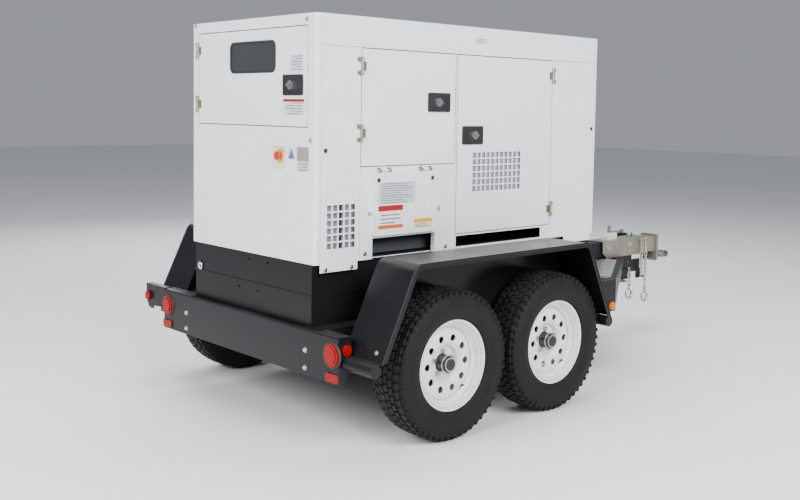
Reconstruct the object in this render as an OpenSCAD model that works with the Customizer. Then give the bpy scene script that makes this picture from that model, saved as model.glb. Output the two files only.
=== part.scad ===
// Towable diesel generator: a sound-proofed power unit on a tandem-axle trailer.
// +X points to the drawbar, +Y to the left side, +Z up. The origin lies on the
// ground, in the middle of the length and of the width.

/* [Enclosure] */
// Length of the enclosure
case_l = 2015; // [1600:1:2500]
// Width of the enclosure
case_w = 1034; // [850:1:1260]
// Height of the enclosure above its floor
case_h = 1105; // [920:1:1400]
// Thickness of the enclosure's sheet metal
sheet = 3; // [2:0.5:4]
// How far the skins hang below the floor
skirt = 4; // [0:1:30]
// How far the low strips and the post hang below the floor
strip_drop = 41; // [20:1:60]
// Outside radius of the rounded upright corners
corner_r = 16; // [8:1:20]
// How far the end skins wrap round onto the sides
wrap = 26; // [22:1:40]

/* [Doors] */
// Height of the plain band above the side doors
band_h = 138; // [100:1:180]
// Width of the fixed side panel behind the rear side door
rear_panel_w = 256; // [230:1:300]
// Width of the rear side door
door_a_w = 612; // [500:1:740]
// Width of the front side door
door_b_w = 737; // [600:1:780]
// Height of the rear side door's lower edge above the floor
door_a_z = 424; // [380:1:500]
// Height of the front side door's lower edge above the floor
door_b_z = 70; // [50:1:100]
// Seam round each door
seam = 4.5; // [2:0.5:6]
// Width of the mullion between the two side doors
mullion = 10; // [8:1:20]
// Width of the control door in the rear face
ctrl_w = 916; // [760:1:930]
// Height of the control door
ctrl_h = 453; // [380:1:540]
// Height of the strip above the control door
ctrl_top = 50; // [30:1:70]
// Width of the window in the control door
window_w = 373; // [300:1:440]
// Height of the window in the control door
window_h = 141; // [100:1:170]
// Width of a latch plate
latch_w = 148; // [120:1:170]
// Radius of the window's corners
window_r = 28; // [8:1:40]
// Height of a latch plate
latch_h = 91; // [70:1:110]
// Radius of a hinge barrel
hinge_r = 7; // [5:0.5:8]
// Width and pitch of a square cell of the air grilles
cell = 27; // [20:1:30]
// Distance between the cells of the air grilles
cell_pitch = 34; // [32:1:40]

/* [Output box] */
// Width of the terminal cover
cover_w = 403; // [330:1:420]
// Height of the terminal cover
cover_h = 295; // [240:1:360]
// How far the terminal cover stands out
cover_d = 12; // [4:1:20]
// Height of the cable outlet below the terminal cover
outlet_h = 125; // [90:1:130]

/* [Base tank] */
// Height of the lower tier of the base tank
tier_a_h = 139; // [100:1:180]
// Height of the upper tier of the base tank
tier_b_h = 143; // [100:1:180]
// Gap between the tank and the skirt of the enclosure
tank_gap = 27; // [15:1:40]

/* [Chassis] */
// How far the chassis rail stands out beyond the enclosure on each side
rail_out = 63; // [50:1:80]
// Height of the chassis rails
rail_h = 185; // [150:1:210]
// Width of the flanges of the chassis rails
rail_b = 50; // [40:1:70]
// Wall of the chassis members
rail_t = 5; // [4:1:8]
// Height of the top of the chassis above the ground
deck_z = 516; // [490:1:560]
// Length of chassis in front of the enclosure
nose = 151; // [100:1:200]
// How far the bumper stands out behind the enclosure
bumper_out = 40; // [30:1:60]
// Width of the rear bumper
bumper_w = 1478; // [1400:1:1560]
// Height of the rear bumper
bumper_h = 206; // [190:1:240]
// Wall of the bumper and of the fenders
plate = 4; // [3:1:6]

/* [Wheels] */
// Outside radius of a tyre
tyre_r = 344; // [320:1:358]
// Section width of a tyre
tyre_w = 204; // [180:1:216]
// Radius of the bead seat of a rim
bead_r = 190; // [180:1:200]
// Distance between the two axles
axle_gap = 722; // [710:1:860]
// Distance of the rear axle from the rear face of the enclosure
axle_back = 494; // [470:1:560]
// Distance of the wheel's centre plane from the chassis rail
wheel_out = 241; // [235:1:280]
// Horizontal reach of the torsion arms
arm_reach = 140; // [120:1:150]
// Drop of the torsion arms from their pivot to the spindle
arm_drop = 80; // [60:1:90]
// Number of round holes in a rim
rim_holes = 10; // [8:1:12]

/* [Fenders] */
// Gap between the top of the tyres and the fender
fender_gap = 143; // [120:1:170]
// Width of a fender
fender_w = 248; // [230:1:280]
// Length of the flat top of a fender beyond the two axles
fender_top = 483; // [440:1:560]
// Length of a fender at its lower ends beyond the two axles
fender_foot = 866; // [840:1:940]
// Height of the lower ends of a fender above the ground
fender_z = 431; // [410:1:450]
// How far the fender sits behind the middle of the axles
fender_back = 27; // [0:1:40]
// Radius of the fender's bends
fender_r = 60; // [40:1:80]
// Depth of the fender's outer lip
lip_h = 24; // [15:1:30]
// Radius of the fender support tubes
post_r = 28; // [22:1:32]

/* [Drawbar] */
// Distance of the tow eye's centre in front of the chassis
tongue_l = 1324; // [1250:1:1590]
// Height of the tow eye's centre above the ground
eye_z = 487; // [470:1:500]
// Radius of the bore of the tow eye
eye_bore_r = 38.1; // [30:0.1:45]
// Radial width of the ring of the tow eye
eye_w = 30; // [24:1:34]
// Height of the ring of the tow eye
eye_h = 38; // [30:1:44]
// Length of the surge actuator's housing
act_l = 504; // [460:1:560]
// Height of the surge actuator's housing
act_h = 116; // [100:1:130]
// Width of the surge actuator's housing
act_w = 120; // [110:1:140]
// Travel of the surge actuator
act_stroke = 50; // [30:1:60]
// Radius of the jack's outer tube
jack_r = 28; // [26:1:32]
// Length of the jack's outer tube
jack_l = 330; // [300:1:360]

/* [Hidden] */
$fn = 48;
gap = 0.3;
eps = 0.01;

// Lengthwise stations, all measured from the rear face of the enclosure
lamp_out = 14;
eye_r = eye_bore_r + eye_w;
rear_out = bumper_out + lamp_out;
eye_x = case_l + nose + tongue_l;
overall_l = rear_out + eye_x + eye_r;
case_x0 = rear_out - overall_l / 2;
chassis_l = case_l + nose;

// Widths
case_y = case_w / 2;
rail_y = case_y + rail_out;
wheel_y = rail_y + wheel_out;
tank_y = case_y - tank_gap;
fender_y0 = wheel_y - tyre_w / 2 - 29;
fender_y1 = fender_y0 + fender_w;

// Heights
rail_z0 = deck_z - rail_h;
tier_z = deck_z + tier_a_h;
case_z0 = tier_z + tier_b_h;
case_z1 = case_z0 + case_h;
skirt_z = case_z0 - skirt;
fender_z1 = 2 * tyre_r + fender_gap;

// Side door layout
door_a_x0 = rear_panel_w;
door_a_x1 = door_a_x0 + door_a_w;
door_b_x0 = door_a_x1 + mullion;
door_b_x1 = door_b_x0 + door_b_w;
door_z1 = case_z1 - band_h;
door_a_z0 = case_z0 + door_a_z;
door_b_z0 = case_z0 + door_b_z;
lap = 24;
latch_inset = 118;
latch_a = [door_a_x1 - latch_inset, door_z1 - 241];
latch_b = [door_b_x0 + latch_inset - 6, door_z1 - 402];
latch_t = 5;
knob_shift = 9;
knob_r = 21;
knob_bore = 8.3;
cam_back = 6;
jamb = 14;
jamb_t = 2;
louvre_pitch = (case_w - 180) / 3;
grille_b_x = latch_b[0] + 6;
grille_b_z1 = latch_b[1] - latch_h / 2 - 42;
rear_grille_x = 66;
rear_grille_z1 = door_a_z0 - 165;
ctrl_z1 = case_z1 - ctrl_top;
ctrl_z0 = ctrl_z1 - ctrl_h;
ctrl_y = ctrl_w / 2;
latch_c = [-350, ctrl_z0 + 190];
window_c = [-24, ctrl_z1 - 131];
estop_c = [-258, ctrl_z0 - 130];
hinge_off = hinge_r + 0.5;
hinge_l = 80;
hinge_a = [door_z1 - 85, door_a_z0 + 155];
hinge_b = [door_z1 - 85, door_b_z0 + 89];
hinge_c = [ctrl_z1 - 86, ctrl_z0 + 101];

// Output box layout
cover_x0 = rear_panel_w + 73;
cover_x1 = cover_x0 + cover_w;
cover_z1 = door_a_z0 - 27;
cover_z0 = cover_z1 - cover_h;
outlet_z0 = cover_z0 - outlet_h;
post_x1 = door_b_x0 + 7;
slot_l = 655;
slot_z0 = case_z0 + 8;
slot_z1 = door_b_z0 - 8;
outlet_d = 26;

// Engine room
rear_bay = 110;
front_bay = 340;
rad_t = 70;
rad_x0 = case_l - front_bay;
fan_room = 130;
fan_r = 250;
fan_z = case_z0 + 470;
fan_shaft = 12;
eng_l = 700;
eng_x1 = rad_x0 - fan_room;
eng_x0 = eng_x1 - eng_l;
crank_z = case_z0 + 330;
alt_l = 520;
alt_r = 205;
alt_x0 = eng_x0 - alt_l;
lift_x = case_l / 2;
lift_r = 22;
pipe_r = 38;
pipe_x = eng_x0 + 70;
pipe_y = 190;

// Axles
axle_x = [axle_back, axle_back + axle_gap];
pivot_z = tyre_r + arm_drop;
beam = 76;
shaft_r = 24;
boss_r = shaft_r + 8;
arm_y0 = rail_y + 12;
arm_t = 24;
drum_r = 127;
hub_w = 58;

// Fender outline stations
fender_mid = (axle_x[0] + axle_x[1]) / 2 - fender_back;
fender_tx = (axle_gap + fender_top) / 2;
fender_fx = (axle_gap + fender_foot) / 2;
post_x = [0, fender_mid + fender_fx - 12];

// Lamps
lamp_y = bumper_w / 2 - 42;
lamp_z = deck_z - 81;
lamp_r = 51;
marker_x = 4;
marker_r = 25;

// Drawbar stations
act_x0 = eye_x - 744;
act_x1 = act_x0 + act_l;
act_z0 = deck_z + 1;
act_z1 = act_z0 + act_h;
act_t = 5;
bracket_x0 = act_x0 + 229;
bracket_x1 = bracket_x0 + 95;
bracket_z0 = 358;
plate_x0 = eye_x - 128;
plate_t = 22;
jack_x = act_x1 - 20;
jack_y = act_w / 2 + 75;
jack_z1 = act_z1 + 6;
jack_pivot_z = act_z0 + 60;
foot_t = 6;

// Safety chains: wire radius, inside length and outside half width of a link
wire_r = 3.6;
link_p = 29;
link_w = 12;
pin_r = 4;
chain_y = -act_w / 2 - 28;
chain_x = [act_x1 - 50, act_x1 - 98];
chain_z = act_z1 - 14;
tie_links = 9;
tie_z = chain_z - (tie_links - 1) * (link_p - gap) - 2 * (link_p / 2 - pin_r - gap);
front_links = 12;
rear_links = 4;
rear_chain = [act_x0 + 184, -146, deck_z - 71];

// ---------------------------------------------------------------- helpers

// Moves a shape from the enclosure's rear face to the model's frame
module at(x, y = 0, z = 0) translate([case_x0 + x, y, z]) children();
// Solid between two opposite corners
module block(a, b) translate([case_x0 + a[0], a[1], a[2]]) cube([b[0] - a[0], b[1] - a[1], b[2] - a[2]]);
// Flat outlines extruded along X, Y or Z
module slab_x(x, t) at(x) rotate([90, 0, 90]) linear_extrude(t) children();
module slab_y(y, t) at(0, y + t) rotate([90, 0, 0]) linear_extrude(t) children();
module slab_z(z, t) at(0, 0, z) linear_extrude(t) children();
// Round bars along X, Y or Z
module bar_x(x, y, z, r, l) at(x, y, z) rotate([0, 90, 0]) cylinder(r = r, h = l);
module bar_y(x, y, z, r, l) at(x, y, z) rotate([-90, 0, 0]) cylinder(r = r, h = l);
module bar_z(x, y, z, r, l) at(x, y, z) cylinder(r = r, h = l);
// Right side is built as drawn, left side is its mirror image
module side(s) {
    if (s > 0)
        mirror([0, 1, 0]) children();
    else
        children();
}
// Rectangle between two corners, with round corners
module rrect(x0, y0, x1, y1, r) {
    translate([x0 + r, y0])
        square([x1 - x0 - 2 * r, y1 - y0]);
    translate([x0, y0 + r])
        square([x1 - x0, y1 - y0 - 2 * r]);
    for (x = [x0 + r, x1 - r], y = [y0 + r, y1 - r])
        translate([x, y])
            circle(r);
}
module rect(x0, y0, x1, y1) translate([x0, y0]) square([x1 - x0, y1 - y0]);
// Grid of square air holes, from its upper rear corner
module cells(x0, z1, columns, rows) {
    for (i = [0:columns - 1], j = [0:rows - 1])
        translate([x0 + i * cell_pitch, z1 - cell - j * cell_pitch])
            square(cell);
}
// Headed pin along Y that a chain hangs on
module chain_pin(x, z, y0, y1) {
    bar_y(x, y1, z, pin_r, y0 - y1);
    bar_y(x, y1 - 4, z, 2 * pin_r, 4);
}
// Channel section open on one side, along Y
module channel_y(x0, x1, y, z0, z1, t) {
    block([x0, -y, z0], [x1, y, z0 + t]);
    block([x0, -y, z1 - t], [x1, y, z1]);
    block([x0, -y, z0], [x0 + t, y, z1]);
}

// ---------------------------------------------------------------- chassis

module rail_right() color([0.09, 0.09, 0.10]) rail();
module rail_left() color([0.09, 0.09, 0.10]) side(1) rail();
// Channels from rail to rail
module cross_members() color([0.09, 0.09, 0.10]) {
    y = rail_y - rail_t;
    z1 = deck_z - rail_t;
    difference() {
        channel_y(rail_t - bumper_out + plate, rail_t - bumper_out + plate + 60, y, z1 - 85, z1, rail_t);
        bumper_bolt_holes();
    }
    for (x = [330, 1180, chassis_l - 70])
        channel_y(x, x + 60, y, z1 - 85, z1, rail_t);
    for (x = axle_x)
        channel_y(x + arm_reach + beam / 2 + 2, x + arm_reach + beam / 2 + 52, y, z1 - 85, z1, rail_t);
}
module bumper_bolt_holes()
    for (y = [-508, 508], z = [343, 423])
        bar_x(-bumper_out, y * case_w / 1034, z, 6, 60);
// Right chassis rail, a channel open to the inside
module rail() {
    x0 = plate - bumper_out;
    difference() {
        union() {
            block([x0, -rail_y, rail_z0], [chassis_l, -rail_y + rail_t, deck_z]);
            block([x0, -rail_y, deck_z - rail_t], [chassis_l, -rail_y + rail_b + 64, deck_z]);
            block([x0, -rail_y, rail_z0], [chassis_l, -rail_y + rail_b, rail_z0 + rail_t]);
            block([x0, -rail_y, rail_z0], [x0 + rail_t, -rail_y + rail_b + 64, deck_z]);
            fender_post(post_x[0], 1);
            fender_post(post_x[1], -1);
        }
        for (x = axle_x)
            bar_y(x + arm_reach, -rail_y - 1, pivot_z, boss_r + gap, rail_t + 2);
        bumper_bolt_holes();
    }
}
// Round tube and tab that carry one lower end of the right fender
module fender_post(x, dir) {
    z = fender_z - gap - post_r;
    tab = [x, x + dir * (abs(fender_end(dir) - x) + 10)];
    difference() {
        bar_y(x, -fender_y1, z, post_r, fender_y1 - rail_y);
        bar_y(x, -fender_y1 + 3, z, post_r - 4, fender_y1 - rail_y);
    }
    block([min(tab), 6 - fender_y1, fender_z - gap - 5],
        [max(tab), -max(fender_y0 + 6, bumper_w / 2 + 1), fender_z - gap]);
}
// Where the fender's sloped end meets its post, behind (1) or ahead (-1)
function fender_end(dir) = fender_mid - dir * fender_fx;

module drawbar() color([0.10, 0.10, 0.11]) {
    difference() {
        union() {
            for (s = [-1, 1])
                side(s)
                    drawbar_rail();
            beam_z1 = act_z1 - act_t - gap;
            difference() {
                block([chassis_l, -45, deck_z + 6], [act_x0 + 150, 45, beam_z1]);
                block([chassis_l - 1, -39, deck_z + 12], [act_x0 + 151, 39, beam_z1 - 6]);
            }
            block([chassis_l, -45, deck_z], [chassis_l + 6, 45, beam_z1]);
            block([act_x0 + 4, -45, deck_z], [act_x0 + 60, 45, deck_z + 6 + eps]);
            block([bracket_x0 - 30, -70, deck_z - 95], [bracket_x0, 70, act_z0]);
            chain_pin(rear_chain[0], rear_chain[2], rear_chain[1] + 60, rear_chain[1] - 14);
        }
        block([chassis_l - 200, -rail_y - 10, rail_z0 - 10], [chassis_l, rail_y + 10, deck_z + 200]);
        bar_y(act_x0 + 60, -46, act_z0 + 70, 8, 92);
    }
}
// Right rail of the A-frame, deeper where it meets the chassis
module drawbar_rail() {
    rise = 89;
    knee = 334;
    run = [bracket_x0 - 10 - chassis_l, rail_y - 74];
    length = sqrt(run[0] * run[0] + run[1] * run[1]);
    turn = atan2(run[1], run[0]);
    at(chassis_l, -rail_y, 0)
        rotate([0, 0, turn]) {
            translate([0, rail_t, 0])
                rotate([90, 0, 0])
                    linear_extrude(rail_t)
                        polygon([[0, rail_z0], [knee, rail_z0 + rise], [length, rail_z0 + rise],
                            [length, deck_z], [0, deck_z]]);
            translate([0, 0, deck_z - rail_t])
                cube([length, rail_b, rail_t]);
            translate([knee, 0, rail_z0 + rise])
                cube([length - knee, rail_b, rail_t]);
        }
}

module deck_plate() color([0.75, 0.76, 0.78]) {
    slope = (rail_y - 74) / (bracket_x0 - 10 - chassis_l);
    inset = 44;
    x1 = act_x0 + 40;
    y0 = rail_y - inset;
    y1 = y0 - slope * (x1 - chassis_l);
    difference() {
        slab_z(deck_z, 4)
            polygon([[chassis_l + 7, -y0], [x1, -y1], [x1, y1], [chassis_l + 7, y0]]);
        block([act_x0 - 60, -66, deck_z - 1], [x1 + 1, 66, deck_z + 5]);
    }
}

module coupler_bracket() color([0.10, 0.10, 0.11]) {
    difference() {
        union() {
            block([bracket_x0 + gap, -64, bracket_z0], [bracket_x0 + gap + 8, 64, act_z0 - gap]);
            for (y = [-64, 56])
                block([bracket_x0 + gap, y, bracket_z0], [bracket_x1, y + 8, act_z0 - gap]);
            for (y = [-64, 56])
                block([bracket_x1 - eps, y, bracket_z0 + 45], [bracket_x1 + 95, y + 8, bracket_z0 + 130]);
            for (y = [-64, 56])
                block([chain_x[1] - 22, y, tie_z - 16], [chain_x[1] + 22, y + 8, bracket_z0 + 60]);
            chain_pin(chain_x[1], tie_z, -57, chain_y - 14);
        }
        for (z = [bracket_z0 + 25, bracket_z0 + 70, bracket_z0 + 115])
            bar_y(bracket_x0 + 60, -70, z, 8, 140);
    }
}

module actuator_case() color([0.62, 0.60, 0.56]) {
    difference() {
        union() {
            difference() {
                slab_y(-act_w / 2, act_w)
                    act_outline();
                block([act_x0 - 1, act_t - act_w / 2, act_z0 - 1],
                    [act_x1 + 1, act_w / 2 - act_t, act_z1 - act_t]);
            }
            block([bracket_x0, -act_w / 2, act_z0], [act_x1, act_w / 2, act_z0 + act_t]);
            bar_y(jack_x, act_w / 2 - eps, jack_pivot_z, 22, 26);
            bar_y(jack_x, act_w / 2 + 25, jack_pivot_z, 12, 22);
            for (x = chain_x)
                chain_pin(x, chain_z, -act_w / 2 + 1, chain_y - 14);
        }
        bar_z(act_x0 + 190, 0, act_z1 - 20, 20, 40);
    }
}
module act_outline() {
    polygon([[act_x0, act_z0 + 38], [act_x0 + 60, act_z0], [act_x1, act_z0], [act_x1, act_z1],
        [act_x0, act_z1]]);
}

module actuator_slide() color([0.66, 0.65, 0.62]) {
    y = act_w / 2 - act_t - gap;
    z0 = act_z0 + act_t + gap;
    z1 = act_z1 - act_t - 3;
    difference() {
        block([act_x0 + 215, -y, z0], [plate_x0, y, z1]);
        block([act_x0 + 214, -y + 6, z0 + 6], [plate_x0 - 8, y - 6, z1 - 6]);
        bar_z(act_x0 + 190 + act_stroke, 0, z1 - 10, 23, 20);
        block([act_x0 + 190, -23, z1 - 10], [act_x0 + 190 + act_stroke, 23, z1 + 1]);
    }
    difference() {
        slab_x(plate_x0, plate_t)
            rrect(-66, eye_z - 34, 66, act_z1 + 4, 8);
        bar_x(plate_x0 - 1, 0, eye_z, 19.1, plate_t + 2);
        for (y = [-44, 44])
            bar_x(plate_x0 - 1, y, act_z0 + 55, 8, plate_t + 2);
    }
}

module tow_eye() color([0.16, 0.16, 0.17]) {
    difference() {
        union() {
            at(eye_x, 0, eye_z)
                rotate_extrude()
                    translate([eye_bore_r, 0])
                        rrect(0, -eye_h / 2, eye_w, eye_h / 2, 12);
            bar_x(plate_x0 + plate_t, 0, eye_z, 24, eye_x - eye_bore_r - 12 - plate_x0 - plate_t);
            bar_x(plate_x0 - 42, 0, eye_z, 19, 50 + plate_t);
            at(plate_x0 - 30, 0, eye_z)
                rotate([0, 90, 0])
                    cylinder(r = 30, h = 30 - gap, $fn = 6);
        }
        bar_z(eye_x, 0, eye_z - eye_h, eye_bore_r, 2 * eye_h);
    }
}

module master_cylinder() color([0.80, 0.80, 0.78]) {
    x = act_x0 + 190;
    bar_z(x, 0, act_z1 - act_t - 2.7, 19.7, act_t + 2.7 + 18);
    bar_z(x, 0, act_z1 + gap, 27, 14);
    bar_z(x, 0, act_z1 + 14, 25, 24);
    difference() {
        block([x - 95, -24, act_z1], [x - 34, 24, act_z1 + 34]);
        block([x - 96, -25, act_z1 + 20], [x - 76, 25, act_z1 + 35]);
    }
}

// ---------------------------------------------------------------- jack

module jack_tube() color([0.12, 0.12, 0.13]) {
    z0 = jack_z1 - jack_l;
    difference() {
        union() {
            bar_z(jack_x, jack_y, z0, jack_r, jack_l);
            bar_z(jack_x, jack_y, jack_z1 - 26, jack_r + 6, 26);
            bar_y(jack_x, act_w / 2 + 26 + gap, jack_pivot_z, 24, jack_y - act_w / 2 - 26 - jack_r / 2);
            block([jack_x - 45, act_w / 2 + 26 + gap, jack_pivot_z - 32],
                [jack_x + 45, act_w / 2 + 33, jack_pivot_z + 32]);
        }
        bar_y(jack_x, act_w / 2 + 20, jack_pivot_z, 12.05, 27 + gap);
        bar_z(jack_x, jack_y, z0 - 1, jack_r - 4, jack_l - 20);
        bar_z(jack_x, jack_y, jack_z1 - 30, 9.3, 40);
    }
}
module jack_leg() color([0.55, 0.56, 0.58]) {
    z0 = jack_z1 - jack_l;
    difference() {
        bar_z(jack_x, jack_y, z0 - 12, jack_r - 4 - gap, jack_l - 24);
        bar_z(jack_x, jack_y, z0 - 13, jack_r - 8, jack_l - 20);
    }
    bar_z(jack_x, jack_y, z0 - 12 - foot_t, 48, foot_t + eps);
}
module jack_crank() color([0.68, 0.68, 0.68]) {
    z = jack_z1 + 12;
    bar_z(jack_x, jack_y, jack_z1 - 24, 9, 42);
    bar_z(jack_x, jack_y, jack_z1 + gap, 14, 24);
    block([jack_x - 160, jack_y - 8, z], [jack_x, jack_y + 8, z + 6]);
    bar_z(jack_x - 150, jack_y, z, 12, 52);
}

// ---------------------------------------------------------------- chains and hooks

// One long link, its length along Z and its flat side across X or Y
module link(x, y, z, turn) {
    arc_z = link_p / 2 - link_w + 2 * wire_r;
    at(x, y, z)
        rotate([0, 0, turn])
            for (e = [0, 180])
                rotate([0, e, 0]) {
                    translate([0, 0, arc_z])
                        rotate([90, 0, 0])
                            rotate_extrude(angle = 180, $fn = 24)
                                translate([link_w - wire_r, 0])
                                    circle(wire_r, $fn = 16);
                    translate([link_w - wire_r, 0, -arc_z])
                        cylinder(r = wire_r, h = 2 * arc_z, $fn = 16);
                }
}
// Links that hang from a pin, the first one flat side to the pin
function link_z(pin_z, i) = pin_z + pin_r + gap - link_p / 2 - i * (link_p - gap);
module strand(x, y, pin_z, count) {
    for (i = [0:count - 1])
        link(x, y, link_z(pin_z, i), i % 2 * 90);
}
module chain_front() color([0.78, 0.78, 0.76]) {
    strand(chain_x[0], chain_y, chain_z, front_links);
    strand(chain_x[1], chain_y, chain_z, tie_links);
}
module chain_rear() color([0.78, 0.78, 0.76])
    strand(rear_chain[0], rear_chain[1], rear_chain[2], rear_links);

// Slip hook whose eye rides on the last link
module slip_hook(x, y, last_z) {
    eye = 9;
    eye_t = 4.5;
    hook_d = 30;
    hook_t = 9.5;
    z = last_z - link_p / 2 - eye_t + gap;
    at(x, y, z) {
        rotate([90, 0, 0])
            rotate_extrude()
                translate([eye - eye_t, 0])
                    rrect(0, -eye_t, 2 * eye_t, eye_t, eye_t - 0.5);
        translate([0, 0, -24])
            cylinder(r = 6.5, h = 24 - eye);
        translate([0, 0, -22 - hook_d])
            rotate([90, 0, 0])
                rotate([0, 0, 78])
                    rotate_extrude(angle = 305)
                        translate([hook_d, 0])
                            circle(hook_t);
    }
}
module hook_front() color([0.72, 0.72, 0.70])
    slip_hook(chain_x[0], chain_y, link_z(chain_z, front_links - 1));
module hook_rear() color([0.72, 0.72, 0.70])
    slip_hook(rear_chain[0], rear_chain[1], link_z(rear_chain[2], rear_links - 1));

// ---------------------------------------------------------------- fenders, bumper, lamps

// Outline of a fender from the side, t inside its outer face and open below when t is set
module fender_side(t) {
    lean = atan((fender_fx - fender_tx) / (fender_z1 - fender_z));
    low = t > 0 ? fender_z - 10 : fender_z;
    foot = fender_fx - t / cos(lean) + (fender_z - low) * tan(lean);
    r = fender_r - t;
    centre = [fender_tx - t * tan(45 - lean / 2) - r * tan(45 - lean / 2), fender_z1 - t - r];
    bend = [for (i = [0:16]) let (a = lean + i * (90 - lean) / 16) centre + r * [cos(a), sin(a)]];
    polygon(concat([[-foot, low], [foot, low]], bend, [for (i = [16:-1:0]) [-bend[i][0], bend[i][1]]]));
}
// Upright slab of a fender between two distances out from the middle
module fender_slab(y0, y1)
    at(fender_mid, -y0)
        rotate([90, 0, 0])
            linear_extrude(y1 - y0)
                children();
module fender() {
    hub_clear = tyre_r + drum_r + 30;
    fender_slab(fender_y0, fender_y1)
        difference() {
            fender_side(0);
            fender_side(plate);
        }
    fender_slab(fender_y1 - plate, fender_y1)
        difference() {
            fender_side(0);
            fender_side(lip_h);
        }
    fender_slab(fender_y0, fender_y0 + plate)
        difference() {
            fender_side(0);
            intersection() {
                fender_side(lip_h);
                translate([-fender_foot * 2, 0])
                    square([fender_foot * 4, hub_clear]);
            }
        }
}
module fender_right() color([0.12, 0.12, 0.13]) fender();
module fender_left() color([0.12, 0.12, 0.13]) side(1) fender();

module bumper() color([0.11, 0.11, 0.12]) {
    y = bumper_w / 2;
    z0 = deck_z - bumper_h;
    depth = 66;
    bend = 4;
    difference() {
        union() {
            slab_y(-y, 2 * y)
                difference() {
                    rect(-bumper_out, z0, depth - bumper_out, deck_z);
                    rect(plate + bend - bumper_out, z0 - 1, depth - bumper_out + 1, deck_z - plate);
                    rect(plate - bumper_out, z0 - 1, depth - bumper_out, deck_z - plate - bend);
                    translate([plate + bend - bumper_out, deck_z - plate - bend])
                        circle(bend);
                    difference() {
                        rect(-bumper_out - 1, deck_z - plate - bend, plate + bend - bumper_out, deck_z + 1);
                        translate([plate + bend - bumper_out, deck_z - plate - bend])
                            circle(plate + bend);
                    }
                }
            for (s = [-y, y - plate])
                slab_y(s, plate)
                    polygon([[-bumper_out, z0], [depth / 2 - bumper_out - 10, z0],
                        [depth + 6 - bumper_out, z0 + 62], [depth + 6 - bumper_out, deck_z],
                        [-bumper_out, deck_z]]);
        }
        block([plate - bumper_out, -rail_y - gap, deck_z - plate - bend], [depth, rail_y + gap, deck_z + 1]);
        for (s = [-1, 1]) {
            bar_x(-bumper_out - 1, s * lamp_y, lamp_z, lamp_r - 5, plate + 2);
            bar_y(marker_x, s * (y - plate / 2) - plate, lamp_z + 22, 20, 2 * plate);
            bar_y(post_x[0], s * (y - plate / 2) - plate, fender_z - gap - post_r, post_r + gap, 2 * plate);
        }
    }
    plate_bracket();
    for (s = [-1, 1], z = [343, 423])
        bumper_bolt(s * 508 * case_w / 1034, z);
}
module bumper_bolt(y, z) {
    at(-bumper_out - 7, y, z)
        rotate([0, 90, 0])
            cylinder(r = 10, h = 7, $fn = 6);
}
// Bracket for a number plate at the left end
module plate_bracket() {
    y0 = bumper_w / 2 + gap;
    y1 = fender_y1 - 4;
    slab_x(-bumper_out, plate)
        difference() {
            rect(y0, deck_z - 112, y1, deck_z + 5);
            difference() {
                rect(y1 - 42, deck_z - 113, y1 + 1, deck_z - 70);
                translate([y1 - 42, deck_z - 70])
                    circle(42);
            }
        }
    block([-bumper_out, y0, deck_z + 1], [34 - bumper_out, y1, deck_z + 5]);
}
module red_lamps() color([0.75, 0.05, 0.05]) {
    for (s = [-1, 1]) {
        bar_x(-bumper_out - lamp_out, s * lamp_y, lamp_z, lamp_r - 16, 4);
        bar_x(-bumper_out - lamp_out + 4, s * lamp_y, lamp_z, lamp_r - 5, 5);
        bar_x(-bumper_out - 6, s * lamp_y, lamp_z, lamp_r, 6 - gap);
        side(s) {
            bar_y(marker_x, -bumper_w / 2 - 12, lamp_z + 22, marker_r - 8, 4);
            bar_y(marker_x, -bumper_w / 2 - 8, lamp_z + 22, marker_r, 8 - gap);
            slab_x(-bumper_out - 6, 6 - gap)
                rrect(-lamp_y - 44, lamp_z - 118, -lamp_y + 40, lamp_z - 80, 6);
        }
    }
}
module amber_lamps() color([0.95, 0.5, 0.1]) {
    for (s = [-1, 1])
        side(s) {
            bar_y(chassis_l - 36, -rail_y - 14, rail_z0 + 32, marker_r - 8, 4);
            bar_y(chassis_l - 36, -rail_y - 10, rail_z0 + 32, marker_r, 10 - gap);
        }
}

// ---------------------------------------------------------------- axles and wheels

module axle_beams() color([0.10, 0.10, 0.11])
    for (x = axle_x)
        difference() {
            union() {
                block([x + arm_reach - beam / 2, 10 - rail_y, pivot_z - beam / 2],
                    [x + arm_reach + beam / 2, rail_y - 10, pivot_z + beam / 2]);
                for (s = [-1, 1])
                    side(s)
                        bar_y(x + arm_reach, -rail_y - 8, pivot_z, boss_r, 30);
            }
            bar_y(x + arm_reach, -rail_y - 9, pivot_z, shaft_r + 0.05, 120);
            bar_y(x + arm_reach, rail_y - 111, pivot_z, shaft_r + 0.05, 120);
            block([x + arm_reach - beam / 2 + 6, 120 - rail_y, pivot_z - beam / 2 + 6],
                [x + arm_reach + beam / 2 - 6, rail_y - 120, pivot_z + beam / 2 - 6]);
        }

// Right torsion arm with its splined shaft and its spindle
module torsion_arm(x) {
    y0 = -arm_y0 - arm_t;
    slope = atan(arm_drop / arm_reach);
    length = sqrt(arm_reach * arm_reach + arm_drop * arm_drop);
    at(x, y0 + arm_t, tyre_r)
        rotate([90, 0, 0])
            linear_extrude(arm_t) {
                circle(36);
                rotate([0, 0, slope]) {
                    translate([0, -30])
                        square([length, 60]);
                    translate([length, 0])
                        circle(40);
                }
            }
    bar_y(x + arm_reach, y0 + 1, pivot_z, shaft_r, arm_t + 4 + 100);
    bar_y(x, -wheel_y - 34, tyre_r, 16, wheel_y + 34 - arm_y0 - 1);
    bar_y(x, -wheel_y + 67, tyre_r, 30, wheel_y - 67 - arm_y0 - 1);
    bar_y(x, -wheel_y + 67, tyre_r, drum_r - 3, 4);
}
module arm_rear_right() color([0.15, 0.15, 0.16]) torsion_arm(axle_x[0]);
module arm_front_right() color([0.15, 0.15, 0.16]) torsion_arm(axle_x[1]);
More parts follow.
